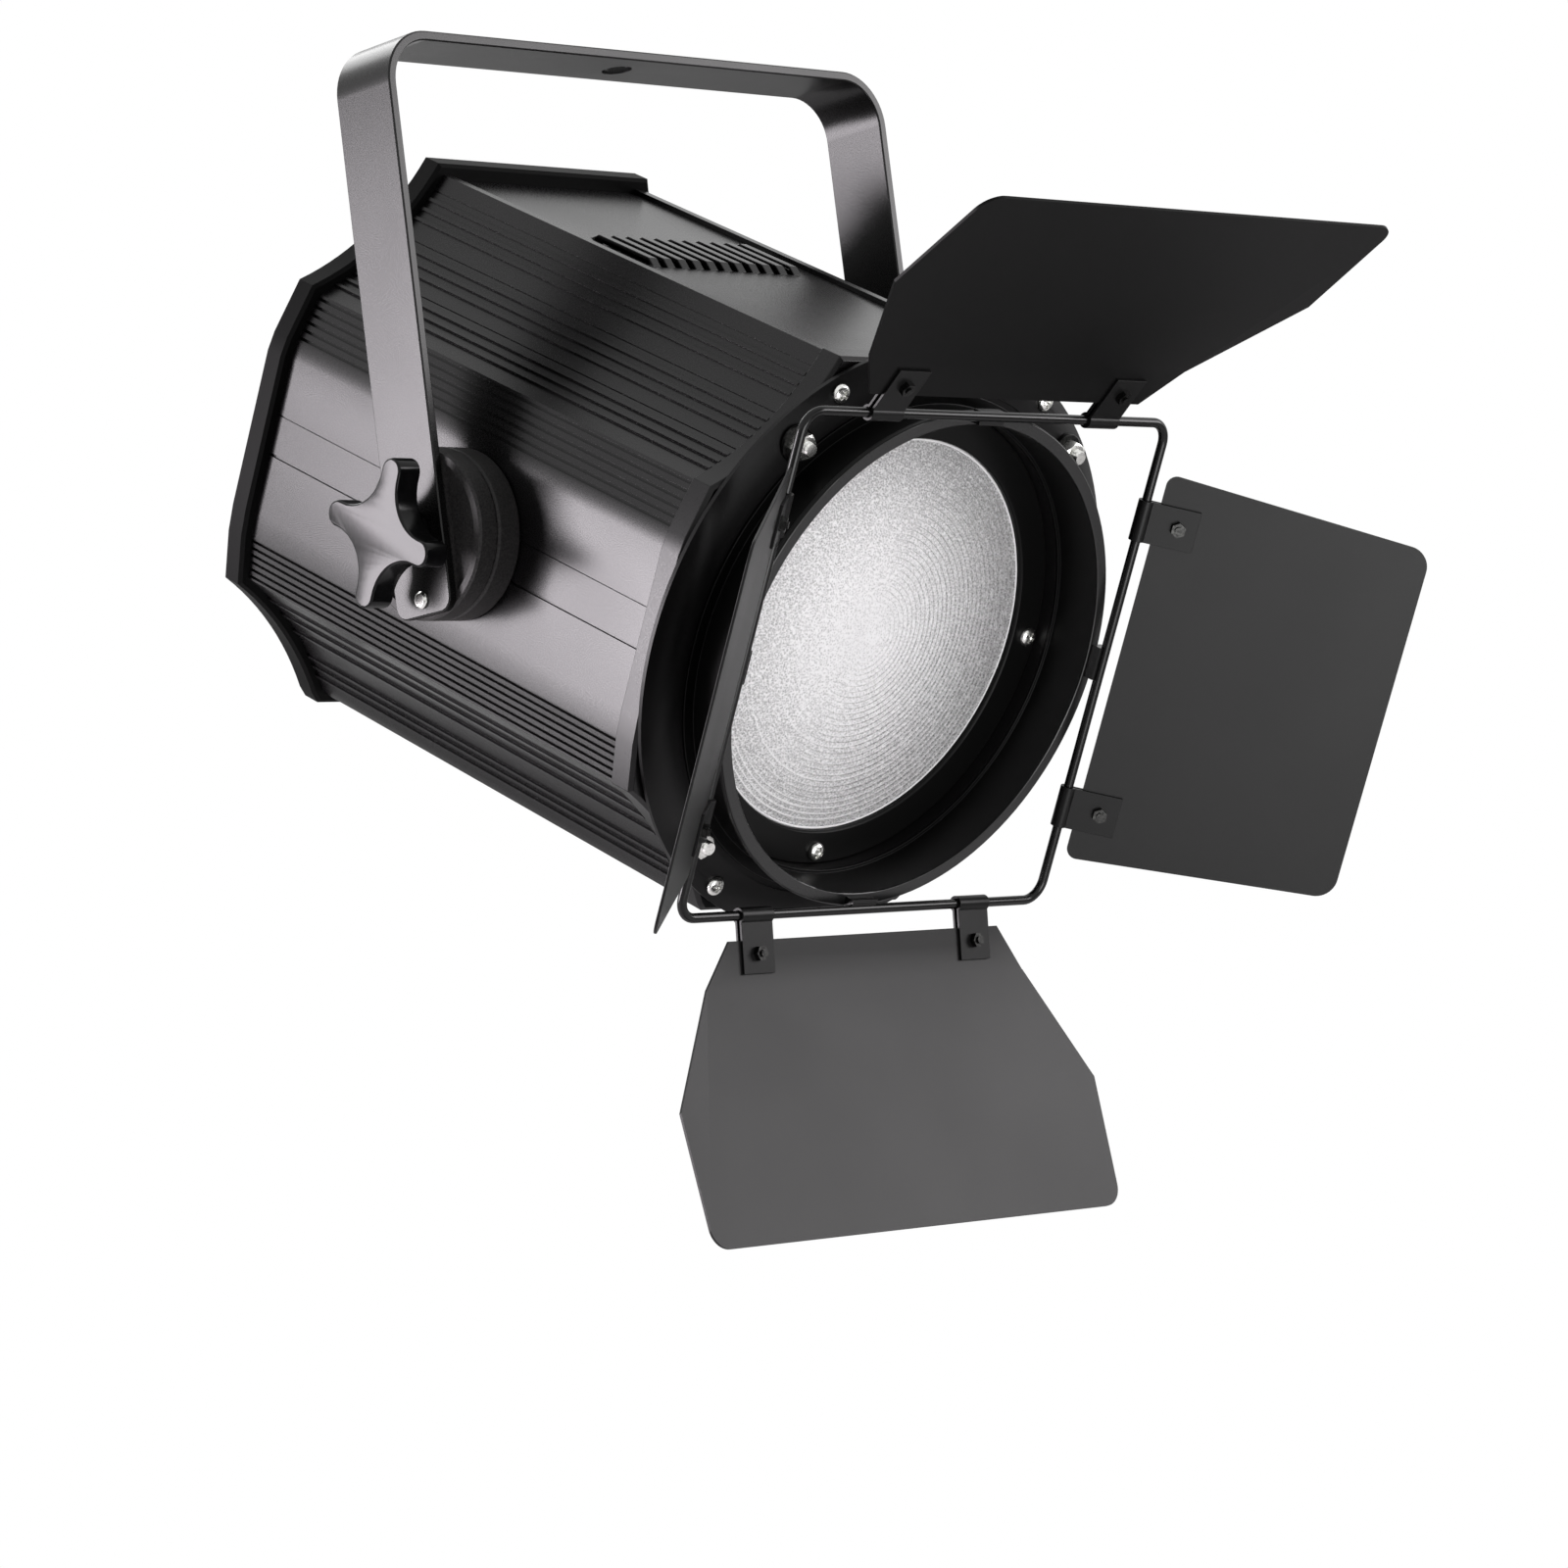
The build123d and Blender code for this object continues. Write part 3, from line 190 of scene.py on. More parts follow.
def frosted_lens(name):
    """Pressed glass with a sandblasted back: pale and speckled, with steps that catch the light, painted
    glints on its steps and rim bead, and painted shade towards its rim.
    """
    made, tree, shader = material(name)
    place = add(tree, "ShaderNodeTexCoord").outputs["Object"]
    level = add(tree, "ShaderNodeMapping", {"vector_type": "TEXTURE"}, Vector=place)
    level.inputs["Location"].default_value = (0, 0, -AXIS_DROP * MM)
    level.inputs["Rotation"].default_value = (radians(TILT), 0, 0)
    split = add(tree, "ShaderNodeSeparateXYZ", None, Vector=level.outputs["Vector"])
    flat = add(tree, "ShaderNodeCombineXYZ", None, X=split.outputs["X"], Y=split.outputs["Z"])
    radius = add(tree, "ShaderNodeVectorMath", {"operation": "LENGTH"}, i0=flat.outputs["Vector"])
    radius = radius.outputs["Value"]
    times, plus = {"operation": "MULTIPLY"}, {"operation": "MULTIPLY_ADD"}
    # how many steps lie inside a point, the same steps as in the mesh
    turns = add(tree, "ShaderNodeMath", times, i0=radius, i1=1 / (LENS_STEP * MM))
    step = add(tree, "ShaderNodeMath", {"operation": "FRACT"}, i0=turns.outputs["Value"])
    # sandblasted grit, drawn 0.7 to 0.9 mm wide so that it shows
    grit = add(tree, "ShaderNodeTexNoise", None, Vector=place, Scale=1500.0, Detail=3.0, Roughness=0.75)
    spark = add(tree, "ShaderNodeTexVoronoi", None, Vector=place, Scale=1100.0)
    mix = {"data_type": "FLOAT"}
    height = add(tree, "ShaderNodeMix", mix, Factor=0.35, A=grit.outputs["Fac"], B=step.outputs["Value"])
    bump = add(tree, "ShaderNodeBump", None, Height=height.outputs["Result"], Strength=1.0,
               Distance=0.5 * MM)
    mixed = add(tree, "ShaderNodeMix", mix, Factor=0.4, A=grit.outputs["Fac"],
                B=spark.outputs["Distance"])
    # thicker glass towards the rim lets less light back out
    # painted shade: the colour darkens towards the rim
    rim = add(tree, "ShaderNodeMath", plus, i0=radius, i1=-2.7, i2=mixed.outputs["Result"])
    # painted glints on the steps' ledges, lighter lines in the colour, no two alike: stronger towards
    # the rim, where the steps are deeper, and painted lighter on the lower left of the lens, the side
    # the low softbox lights
    edge = add(tree, "ShaderNodeMath", {"operation": "POWER"}, i0=step.outputs["Value"], i1=4.0)
    deep = add(tree, "ShaderNodeMath", {"operation": "POWER"}, i0=radius, i1=2.0)
    number = add(tree, "ShaderNodeMath", {"operation": "FLOOR"}, i0=turns.outputs["Value"])
    chance = add(tree, "ShaderNodeTexWhiteNoise", {"noise_dimensions": "1D"}, W=number.outputs["Value"])
    lower_left_light = add(tree, "ShaderNodeVectorMath", {"operation": "DOT_PRODUCT"}, i0=flat.outputs["Vector"])
    lower_left_light.inputs[1].default_value = (-5.0, -7.0, 0.0)
    lower_left_light = add(tree, "ShaderNodeMath", {"operation": "ADD", "use_clamp": True}, i0=lower_left_light.outputs["Value"],
              i1=0.28)
    painted_glint = edge.outputs["Value"]
    for share in (chance, deep, lower_left_light):
        painted_glint = add(tree, "ShaderNodeMath", times, i0=painted_glint, i1=share.outputs["Value"]).outputs["Value"]
    tone = add(tree, "ShaderNodeMath", plus, i0=painted_glint, i1=120.0, i2=rim.outputs["Value"])
    # painted glint: the colour is lighter on the clear bead along the rim
    painted_bead_glint = add(tree, "ShaderNodeMath", {"operation": "GREATER_THAN"}, i0=radius, i1=LENS_BEAD * MM)
    tone = add(tree, "ShaderNodeMath", plus, i0=painted_bead_glint.outputs["Value"], i1=0.3, i2=tone.outputs["Value"])
    base = ramp(tree, tone.outputs["Value"], [(0.12, "#7b7a7b"), (0.48, "#fbfafb")])
    tree.links.new(base, shader.inputs["Base Color"])
    tree.links.new(bump.outputs["Normal"], shader.inputs["Normal"])
    # the glass skin over the frosting shows the steps alone
    skin = add(tree, "ShaderNodeBump", None, Height=step.outputs["Value"], Strength=1.0,
               Distance=0.6 * MM)
    tree.links.new(skin.outputs["Normal"], shader.inputs["Coat Normal"])
    shader.inputs["Coat Weight"].default_value = 0.5
    shader.inputs["Coat Roughness"].default_value = 0.12
    shader.inputs["Roughness"].default_value = 0.28
    shader.inputs["Transmission Weight"].default_value = 0.25
    return made


# satin coat on the extruded shells and flat panels: a soft mirror of the softboxes
shell_paint = powder_coat("powder_coat_on_extrusion", "#0b0a0b", "#111011", 0.27, 0.5, 0.006, 0.31)
bezel_paint = powder_coat("powder_coat_on_bezel", "#0b0a0b", "#111011", 0.3, 0.7, 0.012, 0.27)
# the same coat, thicker and matt, on the rear casting: stays black beside the shells
cap_paint = powder_coat("matt_powder_coat_on_rear_cap", "#080808", "#0d0d0d", 0.5, 0.7, 0.02, 0.06)
# coat over the pebbled skin of a sand casting
cast_paint = powder_coat("powder_coat_on_casting", "#0a0a0a", "#111011", 0.38, 0.7, 0.04, 0.18)
# satin coat on smooth flat bar
yoke_paint = powder_coat("powder_coat_on_flat_bar", "#0b0b0b", "#111010", 0.28, 0.5, 0.006, 0.31)
# matt coat on sheet, so that the leaves don't throw light back; the top one takes a painted shade, a
# darker and less shiny copy of the coat, as it faces away from the lamps
leaf_paint = powder_coat("matt_powder_coat_on_sheet", "#0a0a0a", "#101010", 0.4, 0.45, 0.012, 0.2)
shaded_top_leaf_paint = powder_coat("shaded_copy_of_leaf_coat_on_top_leaf", "#070707", "#0b0b0b", 0.4, 0.45, 0.012,
                             0.09)
# thin coat on spun aluminium, painted darker than the other coats so that the bore reads deep black, a
# painted shade; its rolled lip takes a lit copy, glossier and painted lighter, for a painted sheen
hood_paint = powder_coat("powder_coat_on_spun_aluminium", "#050505", "#090909", 0.34, 0.5, 0.008, 0.12)
lit_lip_paint = powder_coat("lit_copy_of_hood_coat_on_rolled_lip", "#0d0d0d", "#121212", 0.3, 0.5, 0.008, 0.5)
# rough coat on the die-cast clamp discs, painted a lighter grey all over than the other coats to make up
# for the yoke arm's shadow on them
disc_paint = powder_coat("rough_powder_coat_on_die_casting", "#242424", "#454343", 0.45, 0.9, 0.1, 0.2)
# gloss paint on drawn wire gives the thin bright line along it
wire_paint = powder_coat("gloss_paint_on_wire", "#070707", "#0b0b0b", 0.2, 0.8, 0.004, 0.25)
# blackened zinc on the folded straps
clip_paint = powder_coat("black_zinc_on_strap", "#090909", "#0f0f0f", 0.34, 0.4, 0.01, 0.15)
# blackened steel fasteners, dark with a hard glint, and bright zinc ones that stand out on the black
black_oxide = plated_steel("black_oxide_steel", "#3a3a39", "#1d1d1d", 0.3)
bright_zinc = plated_steel("bright_zinc_plate", "#f2f2ef", "#cfcfcb", 0.24)
# clear anodised fins and reflector, seen only through the slots
sink_metal = plated_steel("clear_anodised_aluminium", "#c2c3c4", "#9fa0a2", 0.35)
# polished nylon knobs: broad soft highlights over a slightly wavy face
knob_plastic = moulded_plastic("glossy_black_nylon", "#0a0a0b", "#101011", 0.16, 3.0, 0.02, 0.0, 0.19)
# plain moulded plastics of the sockets, buttons, fan and inner parts
black_plastic = moulded_plastic("black_abs", "#0e0e0e", "#171717", 0.4)
blue_plastic = moulded_plastic("blue_polyamide", "#1c4fa0", "#2259b4", 0.38)
grey_plastic = moulded_plastic("grey_polyamide", "#8b8d8e", "#989a9b", 0.38)
board_lacquer = moulded_plastic("green_board_lacquer", "#0f4023", "#17502c", 0.3)
case_plastic = moulded_plastic("white_abs_case", "#c9c9c2", "#d8d8d1", 0.5)
# smoked acrylic window, nearly a black mirror
display_plastic = moulded_plastic("smoked_acrylic", "#050607", "#090b0c", 0.06, 4.0, 0.005, 0.5)
led_phosphor = moulded_plastic("yellow_phosphor", "#c9a93a", "#d8bc4d", 0.5)
# the sandblasted glass reads nearly white, with speckle and rings, painted glints and painted shade
lens_glass = frosted_lens("frosted_pressed_glass")


# ---------------------------------------------------------------- mesh helpers


def mesh_object(name, bm, place=None):
    """A mesh object at the origin, with its place in its mesh."""
    mesh = bpy.data.meshes.new(name)
    bm.to_mesh(mesh)
    bm.free()
    if place is not None:
        mesh.transform(place)
    made = bpy.data.objects.new(name, mesh)
    bpy.context.scene.collection.objects.link(made)
    return made


def smooth_by_angle(mesh, degrees):
    """Shades a mesh smooth, with hard edges where faces meet at more than the angle."""
    bm = bmesh.new()
    bm.from_mesh(mesh)
    limit = radians(degrees)
    for face in bm.faces:
        face.smooth = True
    for edge in bm.edges:
        edge.smooth = len(edge.link_faces) == 2 and edge.calc_face_angle(0) < limit
    bm.to_mesh(mesh)
    bm.free()


def settle(obj):
    """Applies an object's modifiers to its mesh."""
    depsgraph = bpy.context.evaluated_depsgraph_get()
    mesh = bpy.data.meshes.new_from_object(obj.evaluated_get(depsgraph))
    obj.modifiers.clear()
    obj.data = mesh


def finished(obj, paint, body, nodes=(), angle=32):
    """Gives a piece its material and shading and hangs it on its body."""
    obj.data.materials.clear()
    obj.data.materials.append(paint)
    if angle:
        smooth_by_angle(obj.data, angle)
    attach(obj, body)
    if nodes:
        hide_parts(*nodes)
    return obj


node_body = {n: b for b, members in frame["record"]["behaviour"]["bodies"].items() for n in members}
node_slot = {s["node"]: s["material_slot"] for s in frame["record"]["subparts"]}


def from_cad(node, paint, rounding=0.0, trim=None, angle=32):
    """A merged, smoothly shaded copy of a CAD node, trimmed if asked, with its sharp edges rounded."""
    bm = bmesh.new()
    bm.from_mesh(frame["nodes"][node].data)
    bmesh.ops.remove_doubles(bm, verts=bm.verts, dist=0.01 * MM)
    bmesh.ops.dissolve_limit(bm, angle_limit=radians(1.0), verts=bm.verts, edges=bm.edges)
    obj = mesh_object(node + "_finished", bm)
    if trim:
        trim(obj)
    if rounding:
        smooth_by_angle(obj.data, angle)
        bevel = obj.modifiers.new("edges", "BEVEL")
        bevel.width = rounding * MM
        bevel.segments = 2
        bevel.limit_method = "ANGLE"
        bevel.angle_limit = radians(angle)
        bevel.harden_normals = True
        settle(obj)
    return finished(obj, paint, node_body[node], [node], 0 if rounding else angle)


def lathe(name, profile, count=180, place=HEAD):
    """A ring turned about the lens axis from (radius, y) points of a closed outline."""
    bm = bmesh.new()
    rows = []
    for i in range(count):
        a = 2 * pi * i / count
        rows.append([bm.verts.new((r * cos(a), y, r * sin(a))) for r, y in profile])
    for i in range(count):
        near, far = rows[i], rows[(i + 1) % count]
        for j in range(len(profile)):
            k = (j + 1) % len(profile)
            if profile[j][0] or profile[k][0]:
                bm.faces.new((near[j], near[k], far[k], far[j]))
    bmesh.ops.remove_doubles(bm, verts=bm.verts, dist=0.0005)
    bmesh.ops.recalc_face_normals(bm, faces=bm.faces)
    return mesh_object(name, bm, place)


# ---------------------------------------------------------------- paints for every node

paints = {
    "yoke_paint": yoke_paint, "disc_paint": disc_paint, "head_paint": shell_paint,
    "cast_paint": cast_paint, "hood_paint": hood_paint, "panel_paint": shell_paint,
    "leaf_paint": leaf_paint, "wire_paint": wire_paint, "clip_metal": clip_paint,
    "bright_screw": bright_zinc, "dark_screw": black_oxide, "knob_plastic": knob_plastic,
    "lens_glass": lens_glass, "display": display_plastic,
    "inlet_plastic": blue_plastic, "outlet_plastic": grey_plastic, "socket_plastic": black_plastic,
    "button_plastic": black_plastic, "fan_plastic": black_plastic, "sink_metal": sink_metal,
    "led_yellow": led_phosphor, "reflector_metal": sink_metal, "driver_case": case_plastic,
    "board_green": board_lacquer,
}
# how far each piece's sharp edges are rounded, in millimetres
roundings = {
    "yoke": 0.5, "yoke_disc_left": 0.35, "yoke_disc_right": 0.35, "pivot_disc_left": 0.35,
    "pivot_disc_right": 0.35, "knob_left": 0.6, "knob_right": 0.6, "front_bezel": 0.9,
    "front_flange": 0.5, "hood": 0.4, "rear_cap": 1.0, "side_shell_left": 0.35,
    "side_shell_right": 0.35, "top_panel": 0.35, "bottom_panel": 0.35, "rear_panel": 0.3,
    "lens_ring": 0.3, "leaf_top": 0.35, "leaf_right": 0.35, "leaf_bottom": 0.35, "leaf_left": 0.35,
    "clips_top": 0.3, "clips_right": 0.3, "clips_bottom": 0.3, "clips_left": 0.3, "frame_saddles": 0.3,
    "safety_eye": 0.4, "power_inlet": 0.3, "power_outlet": 0.3, "dmx_in": 0.3, "dmx_out": 0.3,
    "fan_frame": 0.4, "disc_rivets": 0.15,
}
# pieces that are built here with finer forms than the solids have
own_forms = {
    "lens", "flange_screws", "lens_screws", "rear_panel_screws", "fan_screws", "hood_nuts",
    "hood_washers", "hood_studs",
}
own_paints = {"rear_cap": cap_paint, "front_bezel": bezel_paint, "leaf_top": shaded_top_leaf_paint}


def cut(obj, tool):
    """Cuts one mesh out of another and throws the tool away."""
    made = obj.modifiers.new("cut", "BOOLEAN")
    made.operation = "DIFFERENCE"
    made.object = tool
    settle(obj)
    bpy.data.objects.remove(tool)
    return obj


def block(bm, size, centre=(0, 0, 0)):
    """Adds a box to a mesh."""
    place = Matrix.Translation(centre) @ Matrix.Diagonal((*size, 1.0))
    bmesh.ops.create_cube(bm, size=1.0, matrix=place)


def flatten_flange(obj):
    """Cuts the flange's top and bottom level with the housing's, as photographed behind the wire."""
    height = 20
    for up in (-1, 1):
        bm = bmesh.new()
        block(bm, (200, 30, height), (0, FLANGE_BACK, up * (FLANGE_FLAT + height / 2)))
        cut(obj, mesh_object("block", bm, HEAD))


def deepen_bezel(obj):
    """Lets the bezel reach forward to just behind the flange, like its wide side band in the photo."""
    inverse = HEAD.inverted()
    for vertex in obj.data.vertices:
        level = inverse @ vertex.co
        if level.y < BEZEL_EDGE:
            level.y -= BEZEL_REACH
            vertex.co = HEAD @ level


trims = {"front_flange": flatten_flange, "front_bezel": deepen_bezel}

for node in sorted(node_body):
    if node not in own_forms:
        paint = own_paints.get(node, paints[node_slot[node]])
        from_cad(node, paint, roundings.get(node, 0.0), trims.get(node))

# the hood's turned-out lip takes the lit copy of its coat, glossier and painted lighter than its bore
hood = bpy.data.objects["hood_finished"]
hood.data.materials.append(lit_lip_paint)
ahead_of_head = HEAD.to_3x3().normalized() @ Vector((0, -1, 0))
for face in hood.data.polygons:
    if face.normal.dot(ahead_of_head) > 0.8 and (HEAD.inverted() @ face.center).y < LIP_START:
        face.material_index = 1


# ---------------------------------------------------------------- fasteners, set out by Geometry Nodes


def copies_tree():
    """Geometry Nodes that put one master piece on every point, turned by the point's own angle."""
    tree = bpy.data.node_groups.new("pieces_on_points", "GeometryNodeTree")
    tree.interface.new_socket("Points", in_out="INPUT", socket_type="NodeSocketGeometry")
    tree.interface.new_socket("Master", in_out="INPUT", socket_type="NodeSocketObject")
    tree.interface.new_socket("Size", in_out="INPUT", socket_type="NodeSocketFloat").default_value = 1.0
    tree.interface.new_socket("Paint", in_out="INPUT", socket_type="NodeSocketMaterial")
    tree.interface.new_socket("Pieces", in_out="OUTPUT", socket_type="NodeSocketGeometry")
    given = add(tree, "NodeGroupInput")
    master = add(tree, "GeometryNodeObjectInfo", None, Object=given.outputs["Master"])
    turn = add(tree, "GeometryNodeInputNamedAttribute", {"data_type": "FLOAT_VECTOR"}, Name="turn")
    facing = add(tree, "FunctionNodeEulerToRotation", None, Euler=turn.outputs["Attribute"])
    placed = add(tree, "GeometryNodeInstanceOnPoints", None, Points=given.outputs["Points"],
                 Instance=master.outputs["Geometry"], Rotation=facing.outputs["Rotation"],
                 Scale=given.outputs["Size"])
    real = add(tree, "GeometryNodeRealizeInstances", None, Geometry=placed.outputs["Instances"])
    painted = add(tree, "GeometryNodeSetMaterial", None, Geometry=real.outputs["Geometry"],
                  Material=given.outputs["Paint"])
    add(tree, "NodeGroupOutput", None, Pieces=painted.outputs["Geometry"])
    return tree


PIECES_ON_POINTS = copies_tree()


def set_out(name, master, spots, paint, node, angle=35):
    """One mesh of a master piece copied to spots, each a 4x4 place, instead of a CAD node."""
    mesh = bpy.data.meshes.new(name)
    mesh.from_pydata([spot.translation for spot in spots], [], [])
    turn = mesh.attributes.new("turn", "FLOAT_VECTOR", "POINT")
    for i, spot in enumerate(spots):
        turn.data[i].vector = spot.to_euler()[:]
    obj = bpy.data.objects.new(name, mesh)
    bpy.context.scene.collection.objects.link(obj)
    made = obj.modifiers.new("pieces", "NODES")
    made.node_group = PIECES_ON_POINTS
    values = {"Master": master, "Size": 1.0, "Paint": paint}
    for item in PIECES_ON_POINTS.interface.items_tree:
        if item.item_type == "SOCKET" and item.in_out == "INPUT" and item.name in values:
            made[item.identifier] = values[item.name]
    settle(obj)
    return finished(obj, paint, node_body[node], [node], angle)


def rounded(obj, width, angle=35, segments=2):
    """Rounds a piece's sharp edges in its mesh, width in millimetres."""
    made = obj.modifiers.new("edges", "BEVEL")
    made.width = width * MM
    made.segments = segments
    made.limit_method = "ANGLE"
    made.angle_limit = radians(angle)
    settle(obj)
    return obj


def screw_master(length):
    """M4 pan head with a cross recess, head towards -Y, seat at the origin, and its shank."""
    dome = [(0, -2.45), (1.4, -2.42), (2.6, -2.2), (3.5, -1.75), (4.0, -1.1), (4.1, -0.5), (4.1, 0)]
    dome += [(2.0, 0), (2.0, length), (0, length)]
    head = lathe("pan_head", dome, 36, ROW)
    for size in ((4.6, 2.6, 1.1), (1.1, 2.6, 4.6)):
        slot = bmesh.new()
        block(slot, size, (0, -2.45, 0))
        head = cut(head, mesh_object("slot", slot, ROW))
    return rounded(head, 0.12)


def hex_prism(flats, height, bore):
    """A hexagon prism along -Y from the origin, with a round bore."""
    bm = bmesh.new()
    count = 36
    rings = []
    for y, edge in ((0, "out"), (0, "in"), (-height, "out"), (-height, "in")):
        ring = []
        for i in range(count):
            a = 2 * pi * i / count
            sector = (a + pi / 6) % (pi / 3) - pi / 6
            r = flats / 2 / cos(sector) if edge == "out" else bore
            ring.append(bm.verts.new((r * cos(a), y, r * sin(a))))
        rings.append(ring)
    for i in range(count):
        j = (i + 1) % count
        for a, b in ((0, 1), (1, 3), (3, 2), (2, 0)):
            bm.faces.new((rings[a][i], rings[a][j], rings[b][j], rings[b][i]))
    bmesh.ops.recalc_face_normals(bm, faces=bm.faces)
    return mesh_object("hexagon", bm, ROW)


def nut_master(flats, height, bore):
    """Hex nut whose outer corners are chamfered round, seat at the origin, towards -Y."""
    corner = flats / 2 / cos(radians(30))
    start = flats * 0.455
    drop = (corner + 1 - start) * 0.55
    cone = [(start, -height - 0.01), (corner + 1, -height - 0.01), (corner + 1, -height + drop)]
    nut = cut(hex_prism(flats, height, bore), lathe("chamfer", cone, 48, ROW))
    return rounded(nut, flats * 0.012, 25)


def stud_master(radius, start, end, pitch, plain):
    """A rod along Y from start back to end, threaded for its last stretch."""
    profile = [(0, start), (radius, start), (radius, end + plain)]
    y = end + plain
    while y - pitch > end + 0.4:
        profile += [(radius - pitch * 0.4, y - pitch * 0.5), (radius, y - pitch)]
        y -= pitch
    profile += [(radius - 0.4, end), (0, end)]
    return lathe("stud", profile, 32, ROW)


def washer_master(radius, bore, height):
    """A flat washer whose outer edge is broken, seat at the origin, towards -Y."""
    rim = 0.25
    profile = [(bore, 0), (radius, 0), (radius, -height + rim), (radius - rim, -height), (bore, -height)]
    return lathe("washer", profile, 48, ROW)


def head_spot(x, y, z, spin=0.0, behind=False):
    """A place in the row for a piece that points along -Y of the level head, or along +Y behind it."""
    turn = Matrix.Rotation(pi, 4, "Z") if behind else Matrix.Identity(4)
    moved = Matrix.Translation(Vector((x, y, z)) * MM)
    return LEVEL @ moved @ turn @ Matrix.Rotation(radians(spin), 4, "Y")


def corner_pairs(x, z):
    """The four corners at a width and a height from the lens axis."""
    return [(a * x, b * z) for a in (-1, 1) for b in (-1, 1)]


def bowed_height(radius):
    """Where the flange's bowed face lies at a radius, as in the CAD source."""
    share = (FLANGE_RADIUS - radius) / (FLANGE_RADIUS - FLANGE_LAND)
    return FLANGE_EDGE + (FLANGE_FACE - FLANGE_EDGE) * (1 - (1 - share) ** 2)


SCREW_SEAT = bowed_height(sqrt(SCREW_X ** 2 + SCREW_Z ** 2))
WASHER_SEAT = bowed_height(sqrt(STUD_X ** 2 + STUD_Z ** 2))
WASHER_HEIGHT = 1.8

# each screw and nut is left at a turn of its own
flange_corners = enumerate(corner_pairs(SCREW_X, SCREW_Z))
flange_spots = [head_spot(x, SCREW_SEAT, z, 12 + 23 * i) for i, (x, z) in flange_corners]
set_out("flange_pan_screws", screw_master(26.0), flange_spots, bright_zinc, "flange_screws")

lens_spots = []
for i in range(4):
    a = radians(90 * i)
    x, z = LENS_SCREW_CIRCLE * cos(a), LENS_SCREW_CIRCLE * sin(a)
    lens_spots.append(head_spot(x, RING_FACE, z, 30 * i + 20))
set_out("lens_pan_screws", screw_master(2.8), lens_spots, bright_zinc, "lens_screws")

stud_spots = corner_pairs(STUD_X, STUD_Z)
set_out("big_washers", washer_master(7.6, 3.0, WASHER_HEIGHT),
        [head_spot(x, WASHER_SEAT, z) for x, z in stud_spots], black_oxide, "hood_washers")
set_out("hex_nuts", nut_master(10.0, 5.0, 3.0),
        [head_spot(x, WASHER_SEAT - WASHER_HEIGHT, z, 17 * i) for i, (x, z) in enumerate(stud_spots)],
        bright_zinc, "hood_nuts")
set_out("threaded_studs", stud_master(3.0, 0.0, -14.4, 1.0, 9.0),
        [head_spot(x, FLANGE_BACK, z) for x, z in stud_spots], bright_zinc, "hood_studs")

panel_spots = corner_pairs(PANEL_SCREW_X, PANEL_SCREW_Z)
panel_spots += [(-PANEL_SCREW_SIDE, 0), (PANEL_SCREW_SIDE, 0)]
set_out("panel_screws", screw_master(6.8),
        [head_spot(x, PANEL_BACK, z, 31 * x, True) for x, z in panel_spots],
        black_oxide, "rear_panel_screws")
set_out("fan_fixing_screws", screw_master(12.5),
        [head_spot(x, PANEL_BACK, z, 17 * z, True) for x, z in corner_pairs(FAN_SCREW, FAN_SCREW)],
        black_oxide, "fan_screws")


# ---------------------------------------------------------------- lens


def stepped_lens():
    """Pressed lens: a flat back, and steps that slope like a thick lens, steeper towards the rim."""
    back = LENS_FACE + 7.0
    radius = 88.0
    profile = [(0, back), (radius, back), (radius, LENS_FACE)]
    # a rounded bead runs along the rim, inside the clamp ring
    for edge, height in ((84.3, 0), (84.1, 0.5), (83.7, 0.8), (83.2, 0.7)):
        profile.append((edge, LENS_FACE - height))
    for i in range(LENS_STEPS):
        outer = LENS_CLEAR - i * LENS_STEP
        inner = max(outer - LENS_STEP, 0)
        share = outer / LENS_CLEAR
        base = LENS_FACE - 0.8 * (1 - share ** 2)
        profile += [(outer, base), (inner + 0.08 * LENS_STEP, base - 0.44 * LENS_STEP * share)]
    profile[-1] = (0, profile[-1][1])
    return lathe("stepped_lens", profile, 160)


finished(stepped_lens(), lens_glass, "head", ["lens"], 8)

# the masters that were copied have done their work
for stray in ("pan_head", "hexagon", "stud", "washer"):
    for obj in [o for o in bpy.data.objects if o.name.split(".")[0] == stray]:
        bpy.data.objects.remove(obj)


# ---------------------------------------------------------------- camera, light and room

# the camera that was fitted to the photograph, 1600 pixels wide: its place in metres and its turns
SENSOR = 36.0
FOCAL_PIXELS, PHOTO_PIXELS = 5649.6, 1600
CAMERA_PLACE = Vector((-1.61285, -1.64025, -0.51904))
AZIMUTH, ELEVATION, ROLL = radians(-45.351), radians(-5.124), radians(-6.987)
ahead = Vector((-sin(AZIMUTH) * cos(ELEVATION), cos(AZIMUTH) * cos(ELEVATION), -sin(ELEVATION)))
right = ahead.cross(Vector((0, 0, 1))).normalized()
upright = right.cross(ahead)
turned_right = right * cos(ROLL) + upright * sin(ROLL)
turned_up = upright * cos(ROLL) - right * sin(ROLL)
camera_data = bpy.data.cameras.new("camera")
camera_data.sensor_width = SENSOR
camera_data.lens = FOCAL_PIXELS / PHOTO_PIXELS * SENSOR
camera_data.clip_end = 50.0
camera = bpy.data.objects.new("camera", camera_data)
facing = Matrix((turned_right, turned_up, -ahead)).transposed()
camera.matrix_world = Matrix.Translation(CAMERA_PLACE) @ facing.to_4x4()
bpy.context.scene.collection.objects.link(camera)
bpy.context.scene.camera = camera
bpy.context.scene.view_settings.view_transform = "Standard"


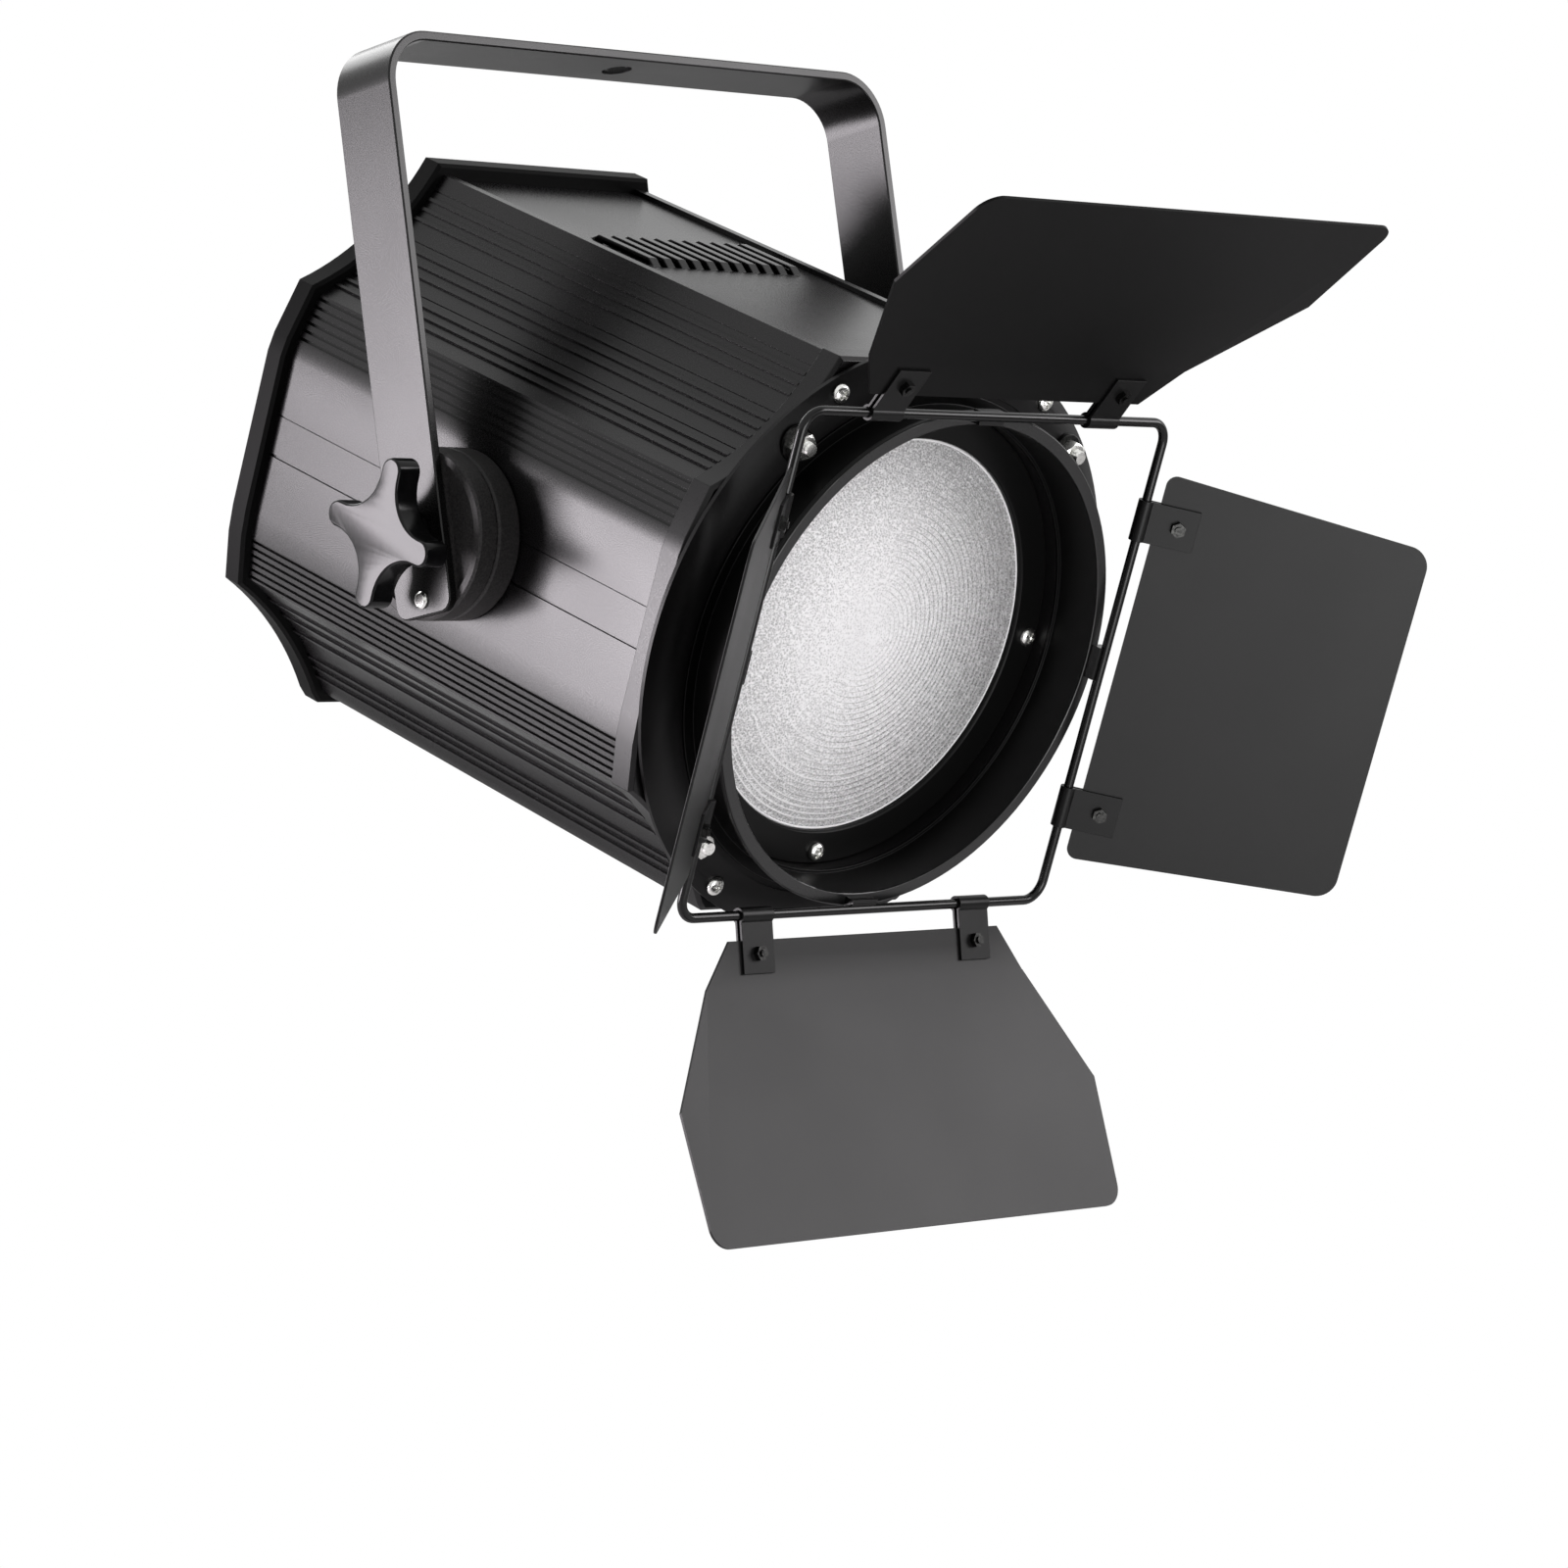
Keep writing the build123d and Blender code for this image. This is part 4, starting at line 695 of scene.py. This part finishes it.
def softbox(name, place, target, width, height, power, tint="#ffffff"):
    """A rectangular studio lamp aimed at a point, in metres and watts."""
    data = bpy.data.lights.new(name, "AREA")
    data.shape = "RECTANGLE"
    data.size, data.size_y = width, height
    data.energy = power
    data.color = colour(tint)[:3]
    lamp = bpy.data.objects.new(name, data)
    lamp.location = place
    lamp.visible_camera = False
    lamp.rotation_euler = (Vector(target) - Vector(place)).to_track_quat("-Z", "Y").to_euler()
    bpy.context.scene.collection.objects.link(lamp)
    return lamp


# each softbox stands where a flat face of the lamp mirrors it to the camera, as in the photograph, and
# the rear one lights the back panel
softbox("left_softbox", (-2.006, 1.512, -0.12), (-0.33, -0.206, -0.2), 0.91, 1.28, 79, "#fff8fe")
softbox("front_softbox", (1.75, -1.72, 0.16), (0.0, -0.1, -0.25), 1.4, 1.15, 33, "#fffcfe")
softbox("low_softbox", (-0.3, -1.3, -0.95), (0.0, -0.12, -0.27), 0.9, 0.7, 14, "#ffffff")
softbox("rear_softbox", (0.25, 1.7, 1.55), (0.0, 0.1, -0.2), 1.3, 0.9, 15, "#ffffff")

world = bpy.data.worlds.new("studio")
bpy.context.scene.world = world
world.use_nodes = True
tree = world.node_tree
tree.nodes.clear()
rays = add(tree, "ShaderNodeLightPath")
clear = add(tree, "ShaderNodeMath", {"operation": "MAXIMUM"}, i0=rays.outputs["Is Camera Ray"],
            i1=rays.outputs["Is Transmission Ray"])
seen = add(tree, "ShaderNodeMath", {"operation": "MAXIMUM"}, i0=clear.outputs["Value"],
           i1=rays.outputs["Is Glossy Ray"])
white = add(tree, "ShaderNodeBackground", None, Color=colour("#ffffff"), Strength=1.0)
ambient = add(tree, "ShaderNodeBackground", None, Color=colour("#ffffff"), Strength=0.12)
mixed = add(tree, "ShaderNodeMixShader", None, Fac=seen.outputs["Value"],
            i1=ambient.outputs["Background"], i2=white.outputs["Background"])
add(tree, "ShaderNodeOutputWorld", None, Surface=mixed.outputs["Shader"])

# a pale floor, well below the hanging lamp, in metres
FLOOR_HALF, FLOOR_HEIGHT = 5.0, -1.25
floor_mesh = bmesh.new()
bmesh.ops.create_grid(floor_mesh, x_segments=1, y_segments=1, size=FLOOR_HALF)
floor = mesh_object("floor", floor_mesh, Matrix.Translation((0, 0, FLOOR_HEIGHT)))
# matt background paper, evenly pale
floor_paint, tree, shader = material("pale_paper_floor")
shader.inputs["Base Color"].default_value = colour("#f2f2f2")
shader.inputs["Roughness"].default_value = 0.9
floor.data.materials.append(floor_paint)
